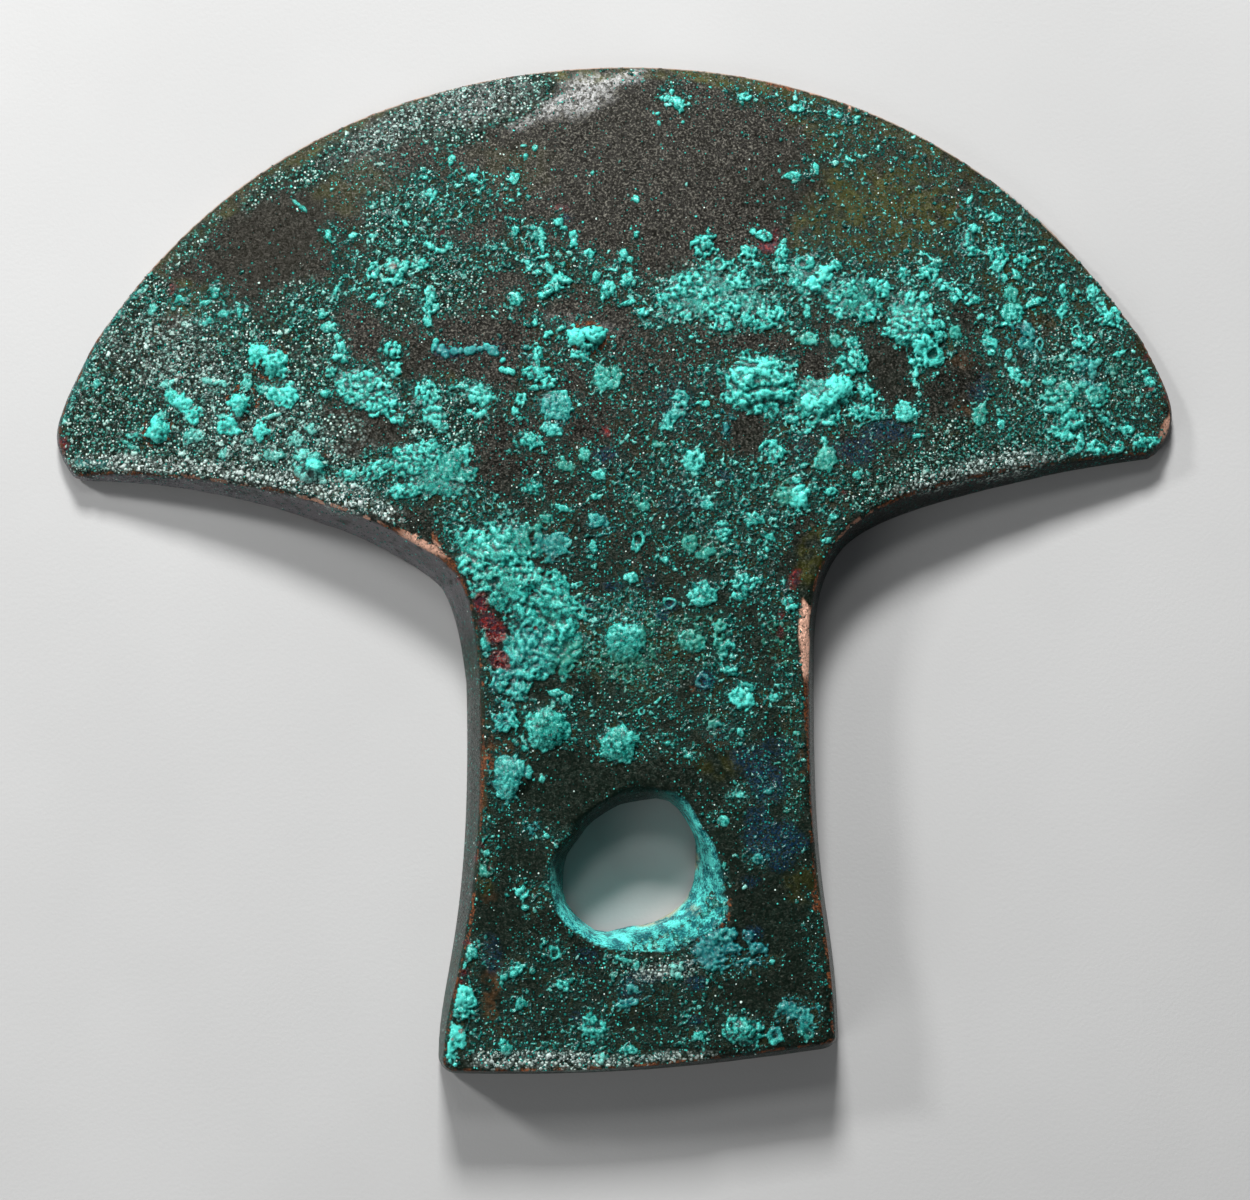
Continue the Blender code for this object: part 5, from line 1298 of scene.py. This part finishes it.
class Nodes:
    """Short ways to add and join the nodes of one material."""

    def __init__(self, name):
        self.material = bpy.data.materials.new(name)
        self.material.use_nodes = True
        self.tree = self.material.node_tree
        self.shader = self.tree.nodes["Principled BSDF"]
        self.place = self.vector("SCALE", self.add("TexCoord").outputs["Object"], scale=1 / MILLIMETRE)

    def add(self, kind, inputs=None, **settings):
        """New node with its settings, and with a link or a value at each named or numbered input."""
        node = self.tree.nodes.new("ShaderNode" + kind)
        for key, value in settings.items():
            setattr(node, key, value)
        for key, value in (inputs or {}).items():
            self.put(node.inputs[key], value)
        return node

    def put(self, socket, value):
        if isinstance(value, bpy.types.NodeSocket):
            self.tree.links.new(value, socket)
        elif isinstance(value, tuple) and len(value) == 3 and socket.type == "RGBA":
            socket.default_value = value + (1.0,)
        else:
            socket.default_value = value

    def vector(self, operation, first, second=None, scale=None):
        given = {0: first, 1: second, "Scale": scale}
        inputs = {key: value for key, value in given.items() if value is not None}
        return self.add("VectorMath", inputs, operation=operation).outputs["Vector"]

    def math(self, operation, *values):
        return self.add("Math", dict(enumerate(values)), operation=operation).outputs[0]

    def joined(self, operation, values):
        """One operation on all values in turn."""
        total = values[0]
        for value in values[1:]:
            total = self.math(operation, total, value)
        return total

    def times(self, *values):
        return self.joined("MULTIPLY", values)

    def plus(self, *values):
        return self.joined("ADD", values)

    def most(self, *values):
        return self.joined("MAXIMUM", values)

    def noise(self, scale, detail=3.0, roughness=0.5):
        inputs = {"Vector": self.place, "Scale": scale, "Detail": detail, "Roughness": roughness}
        return self.add("TexNoise", inputs).outputs["Fac"]

    def cells(self, scale, shift=0.0):
        """Distance to the middle of a small random cell, and three random values of the cell."""
        place = self.vector("ADD", self.place, (shift, shift, shift)) if shift else self.place
        node = self.add("TexVoronoi", {"Vector": place, "Scale": scale})
        return node.outputs["Distance"], self.add("SeparateColor", {0: node.outputs["Color"]}).outputs

    def attribute(self, name):
        return self.add("Attribute", attribute_name=name).outputs["Fac"]

    def span(self, value, low, high, first=0.0, last=1.0, smooth=True):
        """Maps a value from one span to another, held at its ends."""
        inputs = {"Value": value, "From Min": low, "From Max": high, "To Min": first, "To Max": last}
        steps = "SMOOTHSTEP" if smooth else "LINEAR"
        return self.add("MapRange", inputs, interpolation_type=steps).outputs["Result"]

    def zone(self, name, pattern, low, high, first=0.0, last=1.0):
        """Share of a zone of the mesh, broken up by a pattern."""
        return self.times(self.attribute(name), self.span(pattern, low, high, first, last))

    def mix(self, share, first, second):
        return self.add("Mix", {0: share, 6: first, 7: second}, data_type="RGBA").outputs[2]

    def blend(self, share, first, second):
        return self.add("Mix", {0: share, 2: first, 3: second}, data_type="FLOAT").outputs[0]

    def facets(self, scale, amount):
        """Normal tilted at random from one small cell to the next, as on crystals."""
        colour = self.add("TexVoronoi", {"Vector": self.place, "Scale": scale}).outputs["Color"]
        tilt = self.vector("SCALE", self.vector("SUBTRACT", colour, (0.5, 0.5, 0.5)), scale=amount)
        return self.vector("NORMALIZE", self.vector("ADD", self.add("NewGeometry").outputs["Normal"], tilt))

    def bump(self, height, distance, under=None):
        node = self.add("Bump", {"Height": height, "Distance": distance * MILLIMETRE})
        if under is not None:
            self.put(node.inputs["Normal"], under)
        return node.outputs["Normal"]

    def finish(self, colour, metallic, roughness, normal, shine=0.5):
        values = {"Base Color": colour, "Metallic": metallic, "Roughness": roughness, "Normal": normal,
                  "Specular IOR Level": shine}
        for key, value in values.items():
            self.put(self.shader.inputs[key], value)
        return self.material


def worn_edge_highlight(n):
    """Share of the line of worn copper and painted rim highlight along the cutting edge, which wavers as the
    edge itself does.
    """
    from_centre = n.vector("SUBTRACT", n.place, (ARC_CENTRE[0], ARC_CENTRE[1], 0.0))
    x, y, _ = n.add("SeparateXYZ", {0: from_centre}).outputs
    radius = n.math("SQRT", n.plus(n.times(x, x), n.times(y, y)))
    turn = math.tau / EDGE_WAVER_PERIOD
    phase = n.math("MULTIPLY_ADD", n.math("ARCTAN2", y, x), math.degrees(turn), -EDGE_WAVER_CREST * turn)
    reach = n.math("SUBTRACT", radius, n.times(n.math("COSINE", phase), EDGE_WAVER))
    line = n.span(reach, EDGE_RADIUS - EDGE_LINE_WIDTH, EDGE_RADIUS - EDGE_LINE_FULL)
    return n.times(line, n.span(y, *EDGE_LINE_SPAN))


def rough_ground(n, distance, cell):
    """Colour of the dull ground: dark between its grains, which are dull, golden or pale with painted glints.
    """
    middle = n.span(distance, 0.25, 0.6, 1.0, 0.0)
    glint_speck = n.span(distance, 0.2, 0.42, 1.0, 0.0)
    colour = n.mix(n.times(middle, n.span(cell[0], 0.2, 0.7)), METAL_DARK, DULL_GROUND)
    colour = n.mix(n.times(middle, n.span(cell[1], 0.45, 0.7)), colour, DULL_GRAIN)
    colour = n.mix(n.times(middle, n.span(cell[2], 0.7, 0.75)), colour, GOLDEN)
    return n.mix(n.times(glint_speck, n.span(cell[0], 0.67, 0.69)), colour, PAINTED_GLINT_GRAIN)


def malachite_specks(n):
    """Share and colour of specks of malachite too small for a mesh. The last size of cell sets the hue."""
    masks = []
    for scale, share, shift in SPECK_SIZES:
        distance, cell = n.cells(scale, shift)
        present = n.math("LESS_THAN", cell[0], n.times(n.attribute("speckle"), share))
        size = n.span(cell[1], 0.0, 1.0, 0.2, 0.46)
        masks.append(n.times(present, n.span(distance, n.times(size, 0.7), size, 1.0, 0.0)))
    hue = cell[2]
    colour = n.mix(n.span(hue, 0.1, 0.85), MALACHITE_DEEP, MALACHITE)
    colour = n.mix(n.span(hue, 0.84, 0.9), colour, MALACHITE_PALE)
    # The rarest specks are pale, with painted glints
    colour = n.mix(n.span(hue, 0.965, 0.975), colour, PAINTED_GLINT_GRAIN)
    return n.most(*masks), n.mix(n.times(n.attribute("azurite"), 0.7), colour, MALACHITE_TEAL)


def metal_material():
    """Patinated copper: brown to olive, speckled with malachite, with red, blue and bare places."""
    n = Nodes("patinated_copper")
    broad = n.noise(0.09, 4.0)
    medium = n.noise(0.6, 4.0)
    fine = n.noise(3.4, 4.0, 0.65)
    distance, cell = n.cells(2.3)
    blade, dull, dim = n.attribute("blade"), n.attribute("dull"), n.attribute("dim")

    tone = n.plus(n.times(blade, 0.75), n.times(broad, 0.5), n.times(medium, 0.5))
    colour = n.mix(n.span(tone, 0.35, 1.15), METAL_DARK, METAL_BROWN)
    colour = n.mix(n.attribute("dark"), colour, DARK_BROWN)
    colour = n.mix(n.zone("olive", medium, 0.3, 0.6), colour, OLIVE)
    colour = n.mix(n.zone("rust", medium, 0.4, 0.62), colour, RUST)
    film = n.zone("film", fine, 0.3, 0.62)
    colour = n.mix(n.times(film, 0.85), colour, n.mix(n.span(medium, 0.46, 0.6), FILM, GOLDEN_FILM))
    sandy = n.span(n.noise(3.6, 2.0, 0.6), 0.5, 0.64)
    colour = n.mix(n.times(sandy, n.math("MULTIPLY_ADD", blade, 0.42, 0.14)), colour, SANDY)
    colour = n.mix(dull, colour, rough_ground(n, distance, cell))
    # Side faces: painted light on the left ones and painted shade on the right ones
    colour = n.mix(n.zone("wall", medium, 0.2, 0.5), colour, PAINTED_LIT_WALL)
    colour = n.mix(dim, colour, PAINTED_SHADED_WALL)
    colour = n.mix(n.zone("azurite", fine, 0.42, 0.6), colour, AZURITE)
    # Pale grit with painted glints in the grit zones
    grit = n.times(n.zone("grit", distance, 0.25, 0.6, 1.0, 0.1), n.span(cell[1], 0.25, 0.5))
    colour = n.mix(grit, colour, PAINTED_GLINT_GRAIN)
    # Painted sheen: pale, nearly metallic patches where light would reflect
    haze = n.zone("haze", fine, 0.3, 0.6)
    colour = n.mix(n.times(haze, n.span(cell[1], 0.2, 0.6, 0.25, 1.0)), colour, PAINTED_SHEEN)
    specks, speck_colour = malachite_specks(n)
    colour = n.mix(specks, colour, speck_colour)

    coat = n.zone("coat", fine, 0.22, 0.4)
    coat_colour = n.mix(n.span(n.plus(fine, medium), 0.85, 1.2), MALACHITE_TEAL, COAT_PALE)
    colour = n.mix(coat, colour, coat_colour)
    sand = n.zone("sand", medium, 0.35, 0.5)
    colour = n.mix(sand, colour, SAND)
    red = n.zone("cuprite", fine, 0.3, 0.5)
    colour = n.mix(red, colour, n.mix(n.span(n.noise(2.2, 3.0), 0.48, 0.62), CUPRITE_DARK, CUPRITE))
    worn = n.most(n.zone("rim", n.noise(0.7, 3.0), 0.42, 0.54), n.attribute("copper"))
    worn = n.times(n.span(worn, 0.35, 0.75), n.span(fine, 0.3, 0.52))
    copper = n.mix(n.span(fine, 0.4, 0.7), WORN_BROWN, BROWN_COPPER)
    colour = n.mix(worn, colour, n.mix(n.zone("bright", medium, 0.15, 0.4), copper, BARE_COPPER))
    # Line of worn copper and painted rim highlight along the cutting edge
    edge = n.times(worn_edge_highlight(n), n.span(n.noise(0.8, 3.0), 0.36, 0.5))
    colour = n.mix(edge, colour, WORN_EDGE_HIGHLIGHT)

    covered = n.most(specks, coat, sand, red)
    metallic = n.blend(n.most(dim, dull, covered), 0.45, 0.0)
    metallic = n.blend(film, metallic, 0.2)
    metallic = n.blend(haze, metallic, 0.9)
    metallic = n.blend(n.most(edge, worn), metallic, 0.35)
    roughness = n.span(fine, 0.25, 0.75, 0.26, 0.42, smooth=False)
    roughness = n.blend(n.most(dull, covered), roughness, 0.24)
    lumps = n.plus(n.times(fine, 0.7), n.times(n.noise(6.5, 2.0, 0.6), 0.5), n.times(film, fine))
    normal = n.bump(lumps, 0.12, n.facets(3.0, n.math("MULTIPLY_ADD", dull, 0.5, 0.34)))
    pile = n.times(n.span(distance, 0.0, 0.7, 1.0, 0.0), n.most(dull, n.times(film, 0.3)))
    normal = n.bump(pile, 0.2, normal)
    normal = n.bump(n.most(specks, n.times(coat, fine)), 0.12, normal)
    return n.finish(colour, metallic, roughness, normal, METAL_SHINE)


def crust_material():
    """Malachite crust: bright turquoise with painted light where it stands out, deep green with painted shade
    in its hollows, and painted glints on its grains.
    """
    n = Nodes("malachite_crust")
    broad = n.noise(0.35, 4.0)
    medium = n.noise(1.4, 4.0)
    fine = n.noise(5.0, 4.0, 0.65)
    # Painted light and shade from the painted shade map, broken up by noise
    light = n.plus(n.attribute("shade"), n.times(n.math("SUBTRACT", medium, 0.5), 1.1),
                   n.times(n.math("SUBTRACT", fine, 0.5), 1.7))
    colour = n.mix(n.span(light, 0.2, 0.74), MALACHITE_DEEP, MALACHITE)
    colour = n.mix(n.span(light, 0.74, 1.12), colour, MALACHITE_PALE)
    colour = n.mix(n.zone("green", medium, 0.3, 0.6), colour, MALACHITE_GREEN)
    colour = n.mix(n.zone("teal", broad, 0.25, 0.6, 0.3, 0.8), colour, MALACHITE_TEAL)
    colour = n.mix(n.zone("azurite", fine, 0.35, 0.6), colour, AZURITE)
    colour = n.mix(n.zone("cuprite", fine, 0.35, 0.5), colour, CUPRITE)
    dull = n.zone("dull", medium, 0.35, 0.55, 0.55, 1.0)
    colour = n.mix(dull, colour, n.mix(n.span(light, 0.36, 0.7), DULL_GROUND, DULL_GRAIN))

    # Painted glints: pale specks on grains, and painted highlights on the lightest tops
    distance, cell = n.cells(3.0)
    amount = n.plus(n.math("MULTIPLY_ADD", dull, 0.4, 0.1), n.times(n.attribute("loose"), 0.28))
    glint_speck = n.times(n.span(distance, 0.2, 0.42, 1.0, 0.0), amount)
    painted_top_highlights = n.times(n.span(light, 0.6, 0.9), amount, amount)
    colour = n.mix(n.most(n.times(n.span(cell[0], 0.82, 0.84), glint_speck), painted_top_highlights), colour, PAINTED_GLINT_GRAIN)
    # Painted glints in the grit zones: pale frost on the lighter crust
    colour = n.mix(n.zone("grit", n.plus(fine, light), 0.75, 1.15), colour, PAINTED_GLINT_FROST)
    dirt = n.times(n.span(n.attribute("height"), 0.22, 0.02), n.span(fine, 0.35, 0.65), 0.75)
    colour = n.mix(dirt, colour, EARTH)
    roughness = n.span(fine, 0.3, 0.7, 0.07, 0.2, smooth=False)
    normal = n.bump(n.plus(fine, n.times(medium, 0.8)), 0.1, n.facets(3.0, 0.45))
    return n.finish(colour, 0.0, roughness, normal, CRUST_SHINE)


def floor_material():
    """Matt pale floor."""
    n = Nodes("pale_floor")
    colour = n.mix(n.span(n.noise(0.02, 3.0), 0.3, 0.7), FLOOR_GREY, FLOOR_PALE)
    return n.finish(colour, 0.0, 0.9, n.bump(n.noise(2.0), 0.02))


# Stage

def add_camera():
    data = bpy.data.cameras.new("camera")
    data.lens = CAMERA_LENS
    data.sensor_width = CAMERA_SENSOR
    data.clip_start = CAMERA_NEAR * MILLIMETRE
    camera = bpy.data.objects.new("camera", data)
    bpy.context.scene.collection.objects.link(camera)
    place, target = Vector(CAMERA_PLACE) * MILLIMETRE, Vector(CAMERA_TARGET) * MILLIMETRE
    forward = (target - place).normalized()
    right = forward.cross(Vector((0, 1, 0))).normalized()
    up = right.cross(forward)
    camera.matrix_world = Matrix.Translation(place) @ Matrix((right, up, -forward)).transposed().to_4x4()
    bpy.context.scene.camera = camera


def add_light(name, place, size, power):
    """Soft box that looks at the head, with its size in millimetres and its power in watts."""
    data = bpy.data.lights.new(name, "AREA")
    data.shape = "RECTANGLE"
    data.size, data.size_y = size[0] * MILLIMETRE, size[1] * MILLIMETRE
    data.energy = power
    light = bpy.data.objects.new(name, data)
    bpy.context.scene.collection.objects.link(light)
    light.location = Vector(place) * MILLIMETRE
    towards = (Vector(LIGHT_TARGET) - Vector(place)) * MILLIMETRE
    light.rotation_euler = towards.to_track_quat("-Z", "Y").to_euler()


def add_stage():
    bpy.context.scene.view_settings.view_transform = "Standard"
    for row in LIGHTS:
        add_light(*row)
    world = bpy.data.worlds.new("studio")
    world.use_nodes = True
    background = world.node_tree.nodes["Background"]
    background.inputs["Color"].default_value = SKY_COLOUR + (1.0,)
    background.inputs["Strength"].default_value = SKY_STRENGTH
    bpy.context.scene.world = world
    mesh = bmesh.new()
    bmesh.ops.create_circle(mesh, cap_ends=True, segments=96, radius=FLOOR_RADIUS * MILLIMETRE)
    data = bpy.data.meshes.new("floor")
    mesh.to_mesh(data)
    mesh.free()
    data.materials.append(floor_material())
    floor = bpy.data.objects.new("floor", data)
    floor.location.z = -FLOOR_GAP * MILLIMETRE
    bpy.context.scene.collection.objects.link(floor)


# Painted light and shade of the crust, and zones of the front

def painted_crust_shade(maps, crust, height, density):
    """Painted light and shade of the crust: grains by their own value, and solid forms lighter by how far
    they stand out and shaded in hollows, lighter towards the blade and darker on the left wing.
    """
    # Painted shade in hollows and painted light where the crust stands out
    hollow = np.clip(0.5 + (height - blurred(height, 2)) / 0.1 + (height - blurred(height, 7)) / 0.5, 0, 1)
    grain_shade = 0.62 * crust.value ** 1.8 + 0.27 * hollow + 0.06 * density
    shade = grain_shade + (0.08 + 0.65 * hollow + 0.45 * crust.value - grain_shade) * crust.solid
    # Painted shade on the left wing's solid forms, and painted light towards the blade
    dark = 0.24 * crust.solid * eased(maps.x, PAINTED_SHADE_CRUST_SPAN)
    return shade * (1 + 0.1 * eased(maps.y, PAINTED_LIGHT_CRUST_SPAN) - dark)


def metal_zones(maps, tints, ground, hole_wall):
    """Zones of the metal's patina, each from 0 to 1."""
    edge_distance = EDGE_RADIUS - np.hypot(maps.x - ARC_CENTRE[0], np.maximum(maps.y - ARC_CENTRE[1], 0))
    zones = {key: values for key, values in tints.items() if key not in ("teal", "green")}
    zones["olive"] = np.maximum(zones["olive"], 0.5 * (edge_distance < BEVEL_WIDTH))
    zones["coat"] = np.maximum(hole_wall, zones["coat"])
    zones["film"] = soft_step(ground.density * 1.6)
    zones["dull"] = soft_step(ground.dull * 2.2)
    speckle = np.clip(0.3 + ground.fresh * 0.9 + ground.dull * 0.5, 0, 0.95)
    zones["speckle"] = speckle * (1 - 0.85 * ground.bare)
    zones["blade"] = eased(maps.y, BROWN_SPAN) * (1 - zones["dark"]) * (1 - 0.45 * eased(maps.x, FADED_SPAN))
    return zones


# The whole

def main():
    add_camera()
    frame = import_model()
    node = frame["nodes"]["axe_head"]
    low, high = (np.array(corner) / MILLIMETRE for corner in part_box("axe_head"))
    maps = Maps(low, high)
    rng = np.random.default_rng(SEED)
    triangles = head_triangles(node)
    base, covered = front_surface(maps, facing_up(triangles, COVERED_SLOPE))
    _, front = front_surface(maps, facing_up(triangles, FRONT_SLOPE))
    half, lowest, highest = HOLE_GROUND
    near_hole = (np.abs(maps.x) < half) & (maps.y > lowest) & (maps.y < highest)
    hole_wall = covered & ~front & near_hole

    ragged = 0.24 * noise(maps, 1.2, rng) + 0.17 * noise(maps, 0.5, rng)
    wide_ragged = 0.22 * noise(maps, 4.0, rng) + 0.18 * noise(maps, 1.6, rng) + 0.1 * noise(maps, 0.7, rng)
    ground = ground_maps(maps, wide_ragged, hole_wall)
    crust = Crust(maps, rng, ragged, ground)
    waves = 0.1 * cloud(maps, 9.0, rng, 2)
    relief = waves + 0.05 * cloud(maps, 3.0, rng, 2) * np.clip(ground.density * 2, 0.3, 1)
    relief *= rim_share(covered, 12)
    base = base + relief
    height = crust.height * np.clip(rim_share(covered, 4) * 2 - 1.0, 0, 1)
    height = np.minimum(height, high[2] + CRUST_ABOVE_SOLID - base)

    tints = {key: zone(maps, group, wide_ragged * roughness, softness)
             for key, (group, roughness, softness) in TINTS.items()}
    loose = 1 - crust.solid
    layers = {key: tints[key] for key in ("azurite", "cuprite", "teal", "green")}
    layers.update(shade=painted_crust_shade(maps, crust, height, ground.density), height=height,
                  dull=ground.dullness * loose, grit=tints["grit"] * loose, loose=loose)
    add_crust(maps, rng, base, covered, height, layers)
    add_metal(node, maps, relief, metal_zones(maps, tints, ground, hole_wall))
    add_stage()


main()
